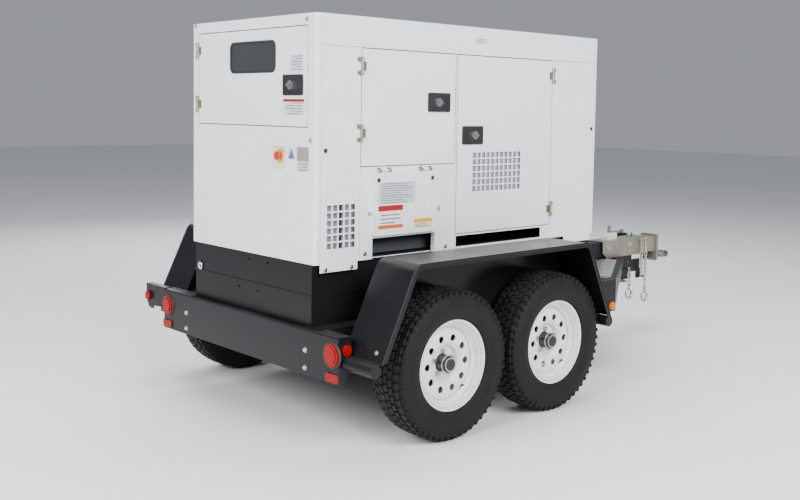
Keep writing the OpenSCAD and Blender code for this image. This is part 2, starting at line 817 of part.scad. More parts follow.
module arm_rear_left() color([0.15, 0.15, 0.16]) side(1) torsion_arm(axle_x[0]);
module arm_front_left() color([0.15, 0.15, 0.16]) side(1) torsion_arm(axle_x[1]);

// Places a wheel part whose +Z points outwards, on the right side
module wheel_at(x) at(x, -wheel_y, tyre_r) rotate([90, 0, 0]) children();

// Steel rim with its disc, brake drum, hub and nuts
module rim_part() {
    flange_r = bead_r + 17;
    well_r = bead_r - 15;
    lug_pcd_r = 57;
    rotate_extrude($fn = 96)
        polygon([[flange_r, 79], [flange_r, 73], [bead_r + 10, 71], [bead_r + 1, 62], [bead_r, 36],
            [well_r, 26], [well_r, -26], [bead_r, -36], [bead_r + 1, -62], [bead_r + 10, -71],
            [flange_r, -73], [flange_r, -79], [bead_r + 6, -76], [bead_r - 4, -62],
            [bead_r - 5, -38], [well_r - 5, -28], [well_r - 5, 28], [bead_r - 5, 38],
            [bead_r - 4, 62], [bead_r + 6, 76]]);
    difference() {
        rotate_extrude($fn = 96)
            polygon([[well_r - 4, 16], [well_r - 4, 8], [152, 24], [128, 33], [104, 30], [88, 18],
                [80, 0], [42, 0], [42, 5], [76, 5], [84, 22], [102, 36], [128, 39], [154, 30]]);
        for (i = [0:rim_holes - 1])
            rotate([0, 0, i * 360 / rim_holes])
                translate([120, 0, 0])
                    cylinder(r = 16.5, h = 60);
        for (i = [0:4])
            rotate([0, 0, i * 72 + 18])
                translate([lug_pcd_r, 0, -1])
                    cylinder(r = 6.6, h = 10);
    }
    difference() {
        union() {
            translate([0, 0, -8 - gap])
                cylinder(r = 76, h = 8);
            translate([0, 0, -66])
                cylinder(r = drum_r, h = hub_w);
            translate([0, 0, -9])
                cylinder(r = 38, h = 62);
            translate([0, 0, 52])
                cylinder(r = 33, h = 10);
            for (i = [0:4])
                rotate([0, 0, i * 72 + 18])
                    translate([lug_pcd_r, 0, -9])
                        cylinder(r = 6, h = 32);
        }
        translate([0, 0, -67])
            cylinder(r = drum_r - 10, h = hub_w - 9);
        translate([0, 0, -67])
            cylinder(r = 16.05, h = 104);
    }
    for (i = [0:4])
        rotate([0, 0, i * 72 + 18])
            translate([lug_pcd_r, 0, 5 + gap])
                difference() {
                    cylinder(r = 11, h = 16, $fn = 6);
                    translate([0, 0, -1])
                        cylinder(r = 6 + gap, h = 18);
                }
}
module tyre_part() {
    rim_w = 62;
    w = tyre_w / 2;
    rotate_extrude($fn = 96)
        polygon([[bead_r + 1.3, rim_w - 2], [bead_r + 1.3, 50], [bead_r + 12, 48], [bead_r + 30, w - 22],
            [bead_r + 70, w - 14], [tyre_r - 34, w - 20], [tyre_r - 18, w - 40], [tyre_r - 15, 0],
            [tyre_r - 18, 40 - w], [tyre_r - 34, 20 - w], [bead_r + 70, 14 - w], [bead_r + 30, 22 - w],
            [bead_r + 12, -48], [bead_r + 1.3, -50], [bead_r + 1.3, 2 - rim_w], [bead_r + 9, -69.4],
            [bead_r + 17.5, -72.5], [bead_r + 22, -82], [bead_r + 50, 4 - w], [bead_r + 80, -w], [bead_r + 115, 6 - w],
            [tyre_r - 16, 16 - w], [tyre_r - 5, 30 - w], [tyre_r - 0.5, 44 - w], [tyre_r, -32],
            [tyre_r - 8, -31], [tyre_r - 8, -25], [tyre_r, -24], [tyre_r, -4], [tyre_r - 8, -3],
            [tyre_r - 8, 3], [tyre_r, 4], [tyre_r, 24], [tyre_r - 8, 25], [tyre_r - 8, 31],
            [tyre_r, 32], [tyre_r - 0.5, w - 44], [tyre_r - 5, w - 30], [tyre_r - 16, w - 16],
            [bead_r + 115, w - 6], [bead_r + 80, w], [bead_r + 50, w - 4], [bead_r + 22, 82],
            [bead_r + 17.5, 72.5], [bead_r + 9, 69.4]]);
}
module rim_rear_right() color("white") wheel_at(axle_x[0]) rim_part();
module rim_front_right() color("white") wheel_at(axle_x[1]) rim_part();
module rim_rear_left() color("white") side(1) wheel_at(axle_x[0]) rim_part();
module rim_front_left() color("white") side(1) wheel_at(axle_x[1]) rim_part();
module tyre_rear_right() color([0.1, 0.1, 0.1]) wheel_at(axle_x[0]) tyre_part();
module tyre_front_right() color([0.1, 0.1, 0.1]) wheel_at(axle_x[1]) tyre_part();
module tyre_rear_left() color([0.1, 0.1, 0.1]) side(1) wheel_at(axle_x[0]) tyre_part();
module tyre_front_left() color([0.1, 0.1, 0.1]) side(1) wheel_at(axle_x[1]) tyre_part();

// ---------------------------------------------------------------- base and enclosure

white = [0.90, 0.91, 0.92];

module base_tank() color([0.10, 0.10, 0.11]) {
    wall = 5;
    x = [wall, case_l - wall];
    y = tank_y;
    difference() {
        union() {
            block([x[0], -y, deck_z], [x[1], y, case_z0]);
            block([x[0] - 4, -y - 4, tier_z - 8], [x[1] + 4, y + 4, tier_z]);
        }
        block([x[0] + wall, -y + wall, deck_z + wall], [x[1] - wall, y - wall, tier_z - 12]);
        block([x[0] + wall, -y + wall, tier_z - 6], [x[1] - wall, y - wall, case_z0 - wall]);
        for (hole = [[6, tier_z + 106], [-152, tier_z + 106], [88, deck_z + 101], [-70, deck_z + 101]])
            bar_x(x[0] - 1, hole[0], hole[1], 6, wall + 2);
    }
}
// Flange all round the tank's top that the skins of the enclosure are fixed to
module case_floor() color(white)
    slab_z(case_z0 - 4, 4)
        difference() {
            rrect(sheet, sheet - case_y, case_l - sheet, case_y - sheet, corner_r);
            rect(5, -tank_y, case_l - 5, tank_y);
            rect(cover_x0 - 8, -case_y, cover_x1 + 8, -tank_y - 1);
            for (end = [0, case_l - wrap - lap - 1], s = [-1, 1])
                translate([end, s * (case_y - sheet - 2) - sheet])
                    square([wrap + lap + 1, 2 * sheet]);
            rect(cover_x1, -case_y, cover_x1 + 10, outlet_d + 1 - case_y);
        }

module roof() color(white) {
    difference() {
        slab_z(case_z1 - sheet, sheet)
            rrect(0, -case_y, case_l, case_y, corner_r);
        block([lift_x - 70, -45, case_z1 - sheet - 1], [lift_x + 70, 45, case_z1 + 1]);
        bar_z(pipe_x, pipe_y, case_z1 - sheet - 1, pipe_r + 6, sheet + 2);
    }
    lift_beam();
    for (x = [420, case_l - 420])
        block([x, sheet - case_y + 1, case_z1 - sheet - 22], [x + 4, case_y - sheet - 1, case_z1 - sheet]);
}
// Cross channel with the lifting eye in its middle
module lift_beam() {
    z = case_z1 - 96;
    difference() {
        block([lift_x - 35, sheet - case_y, z - 40], [lift_x + 35, case_y - sheet, z]);
        block([lift_x - 29, sheet - case_y - 1, z - 41], [lift_x + 29, case_y - sheet + 1, z - 6]);
    }
    difference() {
        union() {
            block([lift_x - 50, -8, z - 30], [lift_x + 50, 8, z + 40]);
            bar_y(lift_x, -8, z + 40, 44, 16);
        }
        bar_y(lift_x, -9, z + 42, lift_r, 18);
    }
}

// Plan of the rear skin: outer sheet round the corners, then a lap behind each side
module end_plan() {
    intersection() {
        difference() {
            rrect(0, -case_y, case_l, case_y, corner_r);
            rrect(sheet, -case_y + sheet, case_l - sheet, case_y - sheet, corner_r - sheet);
        }
        rect(-1, -case_y - 1, wrap, case_y + 1);
    }
    for (s = [-1, 1])
        translate([corner_r, s * (case_y - sheet - sheet / 2) - sheet / 2])
            square([wrap + lap - corner_r, sheet]);
}
module rear_skin() color(white) {
    difference() {
        slab_z(skirt_z, case_z1 - sheet - skirt_z)
            end_plan();
        block([-1, -ctrl_y, ctrl_z0], [sheet + 1, ctrl_y, ctrl_z1]);
        bar_x(-1, estop_c[0], estop_c[1], 11.3, sheet + 2);
    }
    slab_x(sheet, jamb)
        difference() {
            rect(-ctrl_y - jamb_t, ctrl_z0 - jamb_t, ctrl_y + jamb_t, ctrl_z1 + jamb_t);
            rect(-ctrl_y, ctrl_z0, ctrl_y, ctrl_z1);
        }
}
module front_skin() color(white)
    difference() {
        at(case_l, 0, skirt_z)
            mirror([1, 0, 0])
                linear_extrude(case_z1 - sheet - skirt_z)
                    end_plan();
        for (i = [0:14], y = [-1.5, -0.5, 0.5])
            block([case_l - sheet - 1, y * louvre_pitch + 14, case_z0 + 120 + i * 52],
                [case_l + 1, (y + 1) * louvre_pitch - 14, case_z0 + 150 + i * 52]);
    }

// Openings of one side skin, as seen from the right
module door_rect(x0, x1, z0, grow) rect(x0 - grow, z0 - grow, x1 + grow, door_z1 + grow);
module side_plate() {
    difference() {
        rect(wrap + seam, skirt_z, case_l - wrap - seam, case_z1 - sheet);
        children();
        for (x = [door_a_x0, door_b_x1])
            rect(x - 1, skirt_z + 6, x + 1, (x < door_b_x0 ? door_a_z0 : door_b_z0) - 8);
        rect(wrap + seam + 6, door_z1 - 1, door_a_x0 - 8, door_z1 + 1);
        rect(door_b_x1 + 8, door_z1 - 1, case_l - wrap - seam - 6, door_z1 + 1);
    }
    for (x = [[wrap + 5, rear_panel_w - 11], [case_l - 270, case_l - wrap - 5]])
        rect(x[0], case_z0 - strip_drop, x[1], skirt_z + eps);
}
module jamb_frame(x0, x1, z0)
    slab_y(sheet - case_y, jamb)
        difference() {
            door_rect(x0, x1, z0, jamb_t);
            door_rect(x0, x1, z0, 0);
        }
module right_skin() color(white) {
    slab_y(-case_y, sheet)
        side_plate() {
            door_rect(door_a_x0, door_a_x1, door_a_z0, 0);
            door_rect(door_b_x0, door_b_x1, door_b_z0, 0);
            rect(cover_x0 + 5, outlet_z0 - 30, cover_x1 + 5, cover_z0 - 10);
            rrect(cover_x0 + 30, cover_z0 + 20, cover_x1 - 30, cover_z1 - 30, 12);
            rect(door_b_x0 + 7, slot_z0, door_b_x0 + 7 + slot_l, slot_z1);
            cells(rear_grille_x, rear_grille_z1, 5, 6);
        }
    slab_y(-case_y, sheet)
        rect(cover_x1 + 5, case_z0 - strip_drop, post_x1, skirt_z + eps);
    jamb_frame(door_a_x0, door_a_x1, door_a_z0);
    jamb_frame(door_b_x0, door_b_x1, door_b_z0);
}
// White side and top returns of the cable outlet
module outlet_frame() color(white) {
    block([cover_x0 + 5 - sheet, sheet - case_y, skirt_z], [cover_x0 + 5, outlet_d - case_y, cover_z0 - 10]);
    block([cover_x1 + 5, sheet - case_y, case_z0 - strip_drop], [cover_x1 + 5 + sheet, outlet_d - case_y, cover_z0 - 10]);
    block([cover_x0 + 5 - sheet, sheet - case_y, cover_z0 - 10],
        [cover_x1 + 5 + sheet, outlet_d - case_y, cover_z0 - 10 + sheet]);
}
module left_skin() color(white) side(1) {
    slab_y(-case_y, sheet)
        side_plate() {
            door_rect(door_a_x0, door_a_x1, door_b_z0, 0);
            door_rect(door_b_x0, door_b_x1, door_b_z0, 0);
            cells(rear_grille_x, rear_grille_z1, 5, 6);
        }
    jamb_frame(door_a_x0, door_a_x1, door_b_z0);
    jamb_frame(door_b_x0, door_b_x1, door_b_z0);
}

// ---------------------------------------------------------------- doors and latches

// Half hinge along Z at a side door's edge: dir is towards its own leaf
module side_hinge(x, z, dir, outer) {
    y = -case_y - hinge_off;
    leaf = [min(x + dir * 1.2, x + dir * 26), max(x + dir * 1.2, x + dir * 26)];
    spans = outer ? [[z - hinge_l / 2, z - hinge_l / 4 - gap], [z + hinge_l / 4 + gap, z + hinge_l / 2]]
        : [[z - hinge_l / 4, z + hinge_l / 4]];
    for (span = spans)
        difference() {
            union() {
                bar_z(x, y, span[0], hinge_r, span[1] - span[0]);
                block([leaf[0], -case_y - 3, span[0]], [leaf[1], -case_y, span[1]]);
                block([min(x, x + dir * 6), -case_y - 3, span[0]], [max(x, x + dir * 6), -case_y - 0.5, span[1]]);
            }
            if (!outer)
                bar_z(x, y, z - hinge_l, 3.05, 2 * hinge_l);
        }
    if (outer)
        bar_z(x, y, z - hinge_l / 2, 3, hinge_l);
}
// Latch plate with the hole for its shaft, dir is towards the hinge
module latch_plate(c, dir)
    difference() {
        slab_y(-case_y - latch_t, latch_t)
            rrect(c[0] - latch_w / 2, c[1] - latch_h / 2, c[0] + latch_w / 2, c[1] + latch_h / 2, 8);
        bar_y(c[0] + dir * knob_shift, -case_y - latch_t - 1, c[1], knob_bore, latch_t + 2);
    }
// Right side door between x0 and x1: dir points from its latch to its hinge
module side_door(x0, x1, z0, hinges, latch, dir, grille) {
    hinge_x = dir > 0 ? x1 - seam / 2 : x0 + seam / 2;
    difference() {
        union() {
            slab_y(-case_y, sheet)
                difference() {
                    door_rect(x0, x1, z0, -seam);
                    if (grille)
                        cells(grille_b_x, grille_b_z1, 11, 6);
                }
            slab_y(sheet - case_y, jamb - 1)
                difference() {
                    door_rect(x0, x1, z0, -20);
                    door_rect(x0, x1, z0, -22);
                }
        }
        bar_y(latch[0] + dir * knob_shift, -case_y - 1, latch[1], knob_bore, sheet + 2);
    }
    latch_plate(latch, dir);
    for (z = hinges)
        side_hinge(hinge_x, z, -dir, false);
}
module door_right_rear() color(white)
    side_door(door_a_x0, door_a_x1, door_a_z0, hinge_a, latch_a, -1, false);
module door_right_front() color(white)
    side_door(door_b_x0, door_b_x1, door_b_z0, hinge_b, latch_b, 1, true);
module door_left_rear() color(white)
    side(1)
        side_door(door_a_x0, door_a_x1, door_b_z0, hinge_b, latch_a, -1, false);
module door_left_front() color(white)
    side(1)
        side_door(door_b_x0, door_b_x1, door_b_z0, hinge_b, latch_b, 1, true);

// Quarter-turn knob, its shaft and its cam, drawn outwards along +Z at the door's face
module latch_part(reach) {
    depth = sheet + jamb + gap;
    translate([0, 0, latch_t + gap])
        cylinder(r = knob_r, h = 10);
    translate([-knob_r + 4, -5, latch_t + 10])
        cube([2 * knob_r - 8, 10, 10]);
    translate([0, 0, -depth - 5])
        cylinder(r = 8, h = depth + 5 + latch_t + 4);
    translate([-10, -12, -depth - 5])
        cube([reach + 10, 24, 5]);
}
module side_latch(c, dir)
    at(c[0] + dir * knob_shift, -case_y, c[1])
        rotate([90, 0, 0])
            rotate([0, 0, dir > 0 ? 180 : 0])
                latch_part(latch_inset + knob_shift - cam_back);
module latch_right_rear() color([0.8, 0.8, 0.8]) side_latch(latch_a, -1);
module latch_right_front() color([0.8, 0.8, 0.8]) side_latch(latch_b, 1);
module latch_left_rear() color([0.8, 0.8, 0.8]) side(1) side_latch(latch_a, -1);
module latch_left_front() color([0.8, 0.8, 0.8]) side(1) side_latch(latch_b, 1);
module latch_control() color([0.8, 0.8, 0.8])
    at(0, latch_c[0] + knob_shift, latch_c[1])
        rotate([90, 0, -90])
            latch_part(ctrl_y + latch_c[0] + knob_shift - cam_back);

// Half hinge along Z at the control door's left edge, its leaf towards dir along Y
module rear_hinge(y, z, dir, outer)
    at(0, 0, 0)
        rotate([0, 0, -90])
            translate([-case_x0, case_y, 0])
                side_hinge(-y, z, -dir, outer);
module control_door() color(white) {
    difference() {
        union() {
            slab_x(0, sheet)
                rect(seam - ctrl_y, ctrl_z0 + seam, ctrl_y - seam, ctrl_z1 - seam);
            slab_x(sheet, jamb - 1)
                difference() {
                    rect(20 - ctrl_y, ctrl_z0 + 20, ctrl_y - 20, ctrl_z1 - 20);
                    rect(22 - ctrl_y, ctrl_z0 + 22, ctrl_y - 22, ctrl_z1 - 22);
                }
        }
        slab_x(-1, sheet + 2)
            rrect(window_c[0] - window_w / 2, window_c[1] - window_h / 2, window_c[0] + window_w / 2,
                window_c[1] + window_h / 2, window_r);
        bar_x(-1, latch_c[0] + knob_shift, latch_c[1], knob_bore, sheet + 2);
    }
    difference() {
        slab_x(-latch_t, latch_t)
            rrect(latch_c[0] - latch_w / 2, latch_c[1] - latch_h / 2, latch_c[0] + latch_w / 2,
                latch_c[1] + latch_h / 2, 8);
        bar_x(-latch_t - 1, latch_c[0] + knob_shift, latch_c[1], knob_bore, latch_t + 2);
    }
    for (z = hinge_c)
        rear_hinge(ctrl_y - seam / 2, z, -1, false);
}
module window() color([0.10, 0.12, 0.14])
    slab_x(sheet, 4)
        rect(window_c[0] - window_w / 2 - 12, window_c[1] - window_h / 2 - 12,
            window_c[0] + window_w / 2 + 12, window_c[1] + window_h / 2 + 12);

// Half hinge along X above the terminal cover
module cover_hinge(x, outer) {
    z = cover_z1 + hinge_r + 1;
    y = -case_y - hinge_off;
    dir = outer ? 1 : -1;
    spans = outer ? [[x - hinge_l / 2, x - hinge_l / 4 - gap], [x + hinge_l / 4 + gap, x + hinge_l / 2]]
        : [[x - hinge_l / 4, x + hinge_l / 4]];
    for (span = spans)
        difference() {
            union() {
                bar_x(span[0], y, z, hinge_r, span[1] - span[0]);
                block([span[0], -case_y - 3 - (outer ? 0 : gap), min(z, z + dir * 14)],
                    [span[1], -case_y - (outer ? 0 : gap), max(z, z + dir * 14)]);
            }
            if (!outer)
                bar_x(x - hinge_l, y, z, 3.05, 2 * hinge_l);
        }
    if (outer)
        bar_x(x - hinge_l / 2, y, z, 3, hinge_l);
}
cover_hinges = [cover_x0 + 70, cover_x1 - 70];
module cover_outline(t) {
    rrect(cover_x0 + t, cover_z0 + t, cover_x1 - t, cover_z1 - 40, 16 - t);
    rect(cover_x0 + t, cover_z0 + 60, cover_x1 - t, cover_z1 - t);
}
module terminal_cover() color(white) {
    slab_y(-case_y - gap - cover_d, sheet)
        cover_outline(0);
    slab_y(-case_y - gap - cover_d, cover_d)
        difference() {
            cover_outline(0);
            cover_outline(sheet);
        }
    for (x = [cover_x0 + 29, cover_x1 - 29])
        at(x, -case_y - gap - cover_d, cover_z1 - 35)
            rotate([90, 0, 0])
                cylinder(r = 9, h = 3);
    for (x = cover_hinges)
        cover_hinge(x, false);
}

module estop_button() color([0.8, 0.05, 0.05]) {
    bar_x(-26, estop_c[0], estop_c[1], 20, 14.5);
    bar_x(-12, estop_c[0], estop_c[1], 11, 45);
}

// ---------------------------------------------------------------- engine room

module engine() color([0.55, 0.57, 0.55]) {
    block_z = [case_z0 + 170, case_z0 + 560];
    mid_x = (eng_x0 + eng_x1) / 2;
    difference() {
        union() {
            block([eng_x0 + 60, -140, block_z[0]], [eng_x1 - 60, 140, block_z[1]]);
            block([eng_x0 + 110, -110, block_z[0] - 110], [eng_x1 - 110, 110, block_z[0]]);
            bar_x(eng_x0, 0, crank_z, 195, 62);
            block([eng_x0 + 80, -110, block_z[1]], [eng_x1 - 80, 110, block_z[1] + 50]);
            for (i = [0:3])
                bar_x(eng_x0 + 110 + i * 125, 0, block_z[1] + 50, 60, 105);
            bar_x(eng_x1 - 61, 0, crank_z, 85, 41);
            bar_x(eng_x1 - 61, 0, fan_z, 45, 45);
            block([eng_x0 + 100, 139, block_z[0] + 270], [eng_x1 - 100, 190, block_z[0] + 330]);
            block([eng_x0 + 120, -190, block_z[0] + 260], [eng_x1 - 150, -139, block_z[0] + 340]);
            bar_z(mid_x + 80, -180, block_z[0] + 20, 42, 130);
            bar_x(eng_x1 - 230, -190, block_z[0] + 175, 55, 130);
        }
        bar_x(eng_x1 - 90, 0, fan_z, fan_shaft + 0.05, 100);
        block([eng_x0 + 85, -115, block_z[0] + 25], [eng_x1 - 135, 115, block_z[1] - 25]);
        block([eng_x0 + 125, -95, block_z[0] - 95], [eng_x1 - 125, 95, block_z[0] + 26]);
    }
    for (x = [eng_x0 + 150, eng_x1 - 150], y = [-170, 170]) {
        block([x - 35, min(y, sign(y) * 139), block_z[0] + 40], [x + 35, max(y, sign(y) * 139), block_z[0] + 60]);
        bar_z(x, y, case_z0, 34, block_z[0] + 40 - case_z0);
    }
}

module alternator() color([0.25, 0.27, 0.30]) {
    shell = 16;
    difference() {
        union() {
            bar_x(alt_x0 + 60, 0, crank_z, alt_r, alt_l - 60 - gap);
            bar_x(alt_x0, 0, crank_z, alt_r - 45, 61);
            block([alt_x0 + 150, -150, crank_z + alt_r - 40], [alt_x0 + 400, 150, crank_z + alt_r + 90]);
            for (y = [-170, 170])
                block([alt_x0 + 120, y - 15, case_z0], [alt_x0 + alt_l - 80, y + 15, crank_z - 90]);
        }
        bar_x(alt_x0 + 76, 0, crank_z, alt_r - shell, alt_l - 92 - gap);
        block([alt_x0 + 156, -144, crank_z + alt_r + 4], [alt_x0 + 394, 144, crank_z + alt_r + 84]);
    }
    bar_x(alt_x0 + 100, 0, crank_z, alt_r - shell - gap, 210);
    bar_x(alt_x0 + 76 + gap, 0, crank_z, 40, 25);
}

module radiator() color([0.16, 0.17, 0.18]) {
    y = case_y - 70;
    z = [case_z0, case_z1 - 150];
    difference() {
        block([rad_x0, -y, z[0]], [rad_x0 + rad_t, y, z[1]]);
        for (x = [rad_x0 - 1, rad_x0 + rad_t - 24])
            block([x, 60 - y, z[0] + 60], [x + 25, y - 60, z[1] - 60]);
    }
    difference() {
        block([rad_x0 - 4, 40 - y, z[0] + 40], [rad_x0, y - 40, z[1] - 40]);
        bar_x(rad_x0 - 5, 0, fan_z, fan_r + 10, 6);
    }
    difference() {
        bar_x(rad_x0 - 75, 0, fan_z, fan_r + 14, 72);
        bar_x(rad_x0 - 76, 0, fan_z, fan_r + 10, 77);
    }
    bar_z(rad_x0 + rad_t / 2, -y + 60, z[1], 26, 26);
}

module fan() color([0.85, 0.85, 0.82]) {
    bar_x(eng_x1 - 85, 0, fan_z, fan_shaft, 150);
    bar_x(eng_x1 + 44, 0, fan_z, 58, 40);
    for (i = [0:6])
        at(eng_x1 + 64, 0, fan_z)
            rotate([i * 360 / 7, 0, 0])
                rotate([0, 0, 28])
                    translate([-2, -34, 40])
                        cube([4, 68, fan_r - 44]);
}

module muffler() color([0.45, 0.42, 0.40]) {
    z = case_z1 - 260;
    difference() {
        union() {
            bar_x(eng_x0 + 10, pipe_y, z, 105, 560);
            bar_z(pipe_x, pipe_y, z + 60, pipe_r, case_z1 - z - 60 + 12);
        }
        bar_x(eng_x0 + 16, pipe_y, z, 99, 548);
        bar_z(pipe_x, pipe_y, z, pipe_r - 3, case_z1 - z + 20);
    }
    difference() {
        bar_z(eng_x1 - 160, pipe_y - 12, case_z0 + 500, 32, z - case_z0 - 590);
        bar_z(eng_x1 - 160, pipe_y - 12, case_z0 + 499, 29, z - case_z0 - 570);
    }
    for (x = [eng_x0 + 240, eng_x0 + 500])
        block([x, pipe_y - 15, z + 104], [x + 25, pipe_y + 15, case_z1 - sheet]);
}

module battery() color([0.12, 0.12, 0.13]) {
    x = door_a_x0 + 30;
    block([x, 250, case_z0], [x + 260, 420, case_z0 + 205]);
    for (dx = [50, 210])
        bar_z(x + dx, 335, case_z0 + 205, 9, 18);
}

// Control panel behind its door, and the output board behind the terminal cover
module control_panel() color([0.20, 0.21, 0.23]) {
    face = rear_bay;
    z = [ctrl_z0 - 10, ctrl_z1 + 10];
    block([face, -case_y + sheet, z[0]], [face + 40, case_y - sheet, z[1]]);
    block([face - 22, window_c[0] - 150, window_c[1] - 65], [face, window_c[0] + 150, window_c[1] + 65]);
    for (i = [0:2])
        bar_x(face - 9, -210 - i * 70, ctrl_z0 + 150, 26, 9);
    for (i = [0:4])
        bar_x(face - 14, 60 + i * 62, ctrl_z0 + 140, 12, 14);
    block([face + 39, -case_y + sheet, case_z0], [face + 44, 220 - case_y, z[0] + 20]);
    block([face + 39, outlet_d + 60 - case_y, outlet_z0 + 30], [cover_x1 + 60, outlet_d + 66 - case_y, cover_z1 + 20]);
    block([cover_x0 + 5, outlet_d + 65 - case_y, case_z0], [cover_x0 + 11, 200 - case_y, cover_z1 - 60]);
    for (i = [0:4])
        bar_y(cover_x0 + 72 + i * 65, outlet_d + 20 - case_y, cover_z0 + 110, 15, 40 + eps);
    for (i = [0:1])
        bar_y(cover_x0 + 140 + i * 120, outlet_d + 24 - case_y, cover_z0 + 200, 26, 36 + eps);
}

// ---------------------------------------------------------------- fixings

module hex_y(x, z) at(x, -case_y, z) rotate([90, 0, 0]) cylinder(r = 8, h = 5, $fn = 6);
module plug_y(x, z) at(x, -case_y, z) rotate([90, 0, 0]) cylinder(r = 9, h = 3);
module fixings() color([0.55, 0.56, 0.58]) {
    for (z = hinge_a)
        side_hinge(door_a_x0 + seam / 2, z, -1, true);
    for (z = hinge_b) {
        side_hinge(door_b_x1 - seam / 2, z, 1, true);
        side(1) {
            side_hinge(door_b_x1 - seam / 2, z, 1, true);
            side_hinge(door_a_x0 + seam / 2, z, -1, true);
        }
    }
    for (z = hinge_c)
        rear_hinge(ctrl_y - seam / 2, z, 1, true);
    for (x = cover_hinges)
        cover_hinge(x, true);
    for (p = [[314, 209], [289, 25], [post_x1 - 126, 209], [post_x1 - 74, 17], [60, -28], [210, -28]])
        hex_y(p[0], case_z0 + p[1]);
    for (s = [-1, 1])
        side(s) {
            plug_y(54, case_z0 + 503);
            plug_y(case_l - 46, case_z0 + 595);
        }
    for (p = [[480, 12], [-451, 26], [case_y - 13, 547], [35 - case_y, 557]])
        at(0, p[0], case_z1 - p[1])
            rotate([0, -90, 0])
                cylinder(r = 8, h = 5, $fn = 6);
    estop_plate();
    tie_ring();
}
module estop_plate() {
    difference() {
        slab_x(-2, 2)
            rect(estop_c[0] - 34, estop_c[1] - 58, estop_c[0] + 61, estop_c[1] + 39);
        bar_x(-3, estop_c[0], estop_c[1], 12, 4);
    }
    difference() {
        bar_x(-5, estop_c[0], estop_c[1], 30, 3);
        bar_x(-6, estop_c[0], estop_c[1], 12, 5);
    }
}
module tie_ring()
    difference() {
        slab_x(-2, 3)
            translate([441, tier_z + 20])
                circle(20);
        bar_x(-3, 441, tier_z + 20, 9, 5);
    }

rail_right();
rail_left();
cross_members();
drawbar();
deck_plate();
coupler_bracket();
actuator_case();
actuator_slide();
tow_eye();
master_cylinder();
jack_tube();
jack_leg();
jack_crank();
chain_front();
chain_rear();
hook_front();
hook_rear();
fender_right();
fender_left();
bumper();
red_lamps();
amber_lamps();
axle_beams();
arm_rear_right();
arm_front_right();
arm_rear_left();
arm_front_left();
rim_rear_right();
rim_front_right();
rim_rear_left();
rim_front_left();
tyre_rear_right();
tyre_front_right();
tyre_rear_left();
tyre_front_left();
base_tank();
case_floor();
roof();
rear_skin();
right_skin();
outlet_frame();
left_skin();
front_skin();
control_door();
window();
door_right_rear();
door_right_front();
door_left_rear();
door_left_front();
terminal_cover();
estop_button();
latch_control();
latch_right_rear();
latch_right_front();
latch_left_rear();
latch_left_front();
engine();
alternator();
radiator();
fan();
muffler();
battery();
control_panel();
fixings();
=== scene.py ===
import math

import bmesh
import bpy
from mathutils import Matrix, Vector


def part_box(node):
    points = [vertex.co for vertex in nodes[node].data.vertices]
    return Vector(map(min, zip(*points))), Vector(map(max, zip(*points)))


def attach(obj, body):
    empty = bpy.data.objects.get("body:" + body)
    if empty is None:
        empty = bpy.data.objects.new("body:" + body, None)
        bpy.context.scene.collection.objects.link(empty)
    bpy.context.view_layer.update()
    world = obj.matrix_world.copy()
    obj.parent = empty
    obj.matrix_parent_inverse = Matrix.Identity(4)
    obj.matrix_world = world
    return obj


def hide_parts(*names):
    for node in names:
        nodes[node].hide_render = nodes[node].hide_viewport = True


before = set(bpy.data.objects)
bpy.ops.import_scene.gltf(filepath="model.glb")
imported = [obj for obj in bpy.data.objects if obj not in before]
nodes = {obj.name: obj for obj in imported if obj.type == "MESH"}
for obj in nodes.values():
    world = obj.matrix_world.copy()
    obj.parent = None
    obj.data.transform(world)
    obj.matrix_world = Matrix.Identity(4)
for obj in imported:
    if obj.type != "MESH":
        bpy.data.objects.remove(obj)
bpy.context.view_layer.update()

# ---- Ground, light and camera
# A pale studio floor, a large soft lamp on each side and a low three-quarter view
# from behind the right rear corner.
floor_mesh = bmesh.new()
bmesh.ops.create_grid(floor_mesh, x_segments=2, y_segments=2, size=30)
floor_data = bpy.data.meshes.new("floor")
floor_mesh.to_mesh(floor_data)
floor = bpy.data.objects.new("floor", floor_data)
bpy.context.scene.collection.objects.link(floor)
floor_look = bpy.data.materials.new("pale_floor")
floor_look.use_nodes = True
floor_look.node_tree.nodes["Principled BSDF"].inputs["Base Color"].default_value = (0.80, 0.81, 0.82, 1)
floor_look.node_tree.nodes["Principled BSDF"].inputs["Roughness"].default_value = 0.75
floor_data.materials.append(floor_look)

sky = bpy.data.worlds.new("studio")
sky.use_nodes = True
sky.node_tree.nodes["Background"].inputs["Color"].default_value = (0.86, 0.90, 0.97, 1)
sky.node_tree.nodes["Background"].inputs["Strength"].default_value = 0.38
bpy.context.scene.world = sky


def soft_lamp(name, place, aim, size, power):
    data = bpy.data.lights.new(name, "AREA")
    data.shape = "RECTANGLE"
    data.size, data.size_y = size
    data.energy = power
    lamp = bpy.data.objects.new(name, data)
    lamp.location = place
    lamp.rotation_mode = "QUATERNION"
    lamp.rotation_quaternion = (Vector(aim) - Vector(place)).to_track_quat("-Z", "Y")
    bpy.context.scene.collection.objects.link(lamp)


soft_lamp("lamp_right", (-1.5, -6.5, 4.5), (0, 0, 1.0), (5, 3), 760)
soft_lamp("lamp_rear", (-7.0, -1.0, 4.0), (-1, 0, 1.0), (4, 3), 560)
soft_lamp("lamp_top", (1.0, 1.0, 7.0), (0, 0, 1.0), (6, 4), 420)
soft_lamp("lamp_left", (2.0, 6.0, 4.0), (0, 0, 1.0), (4, 3), 200)

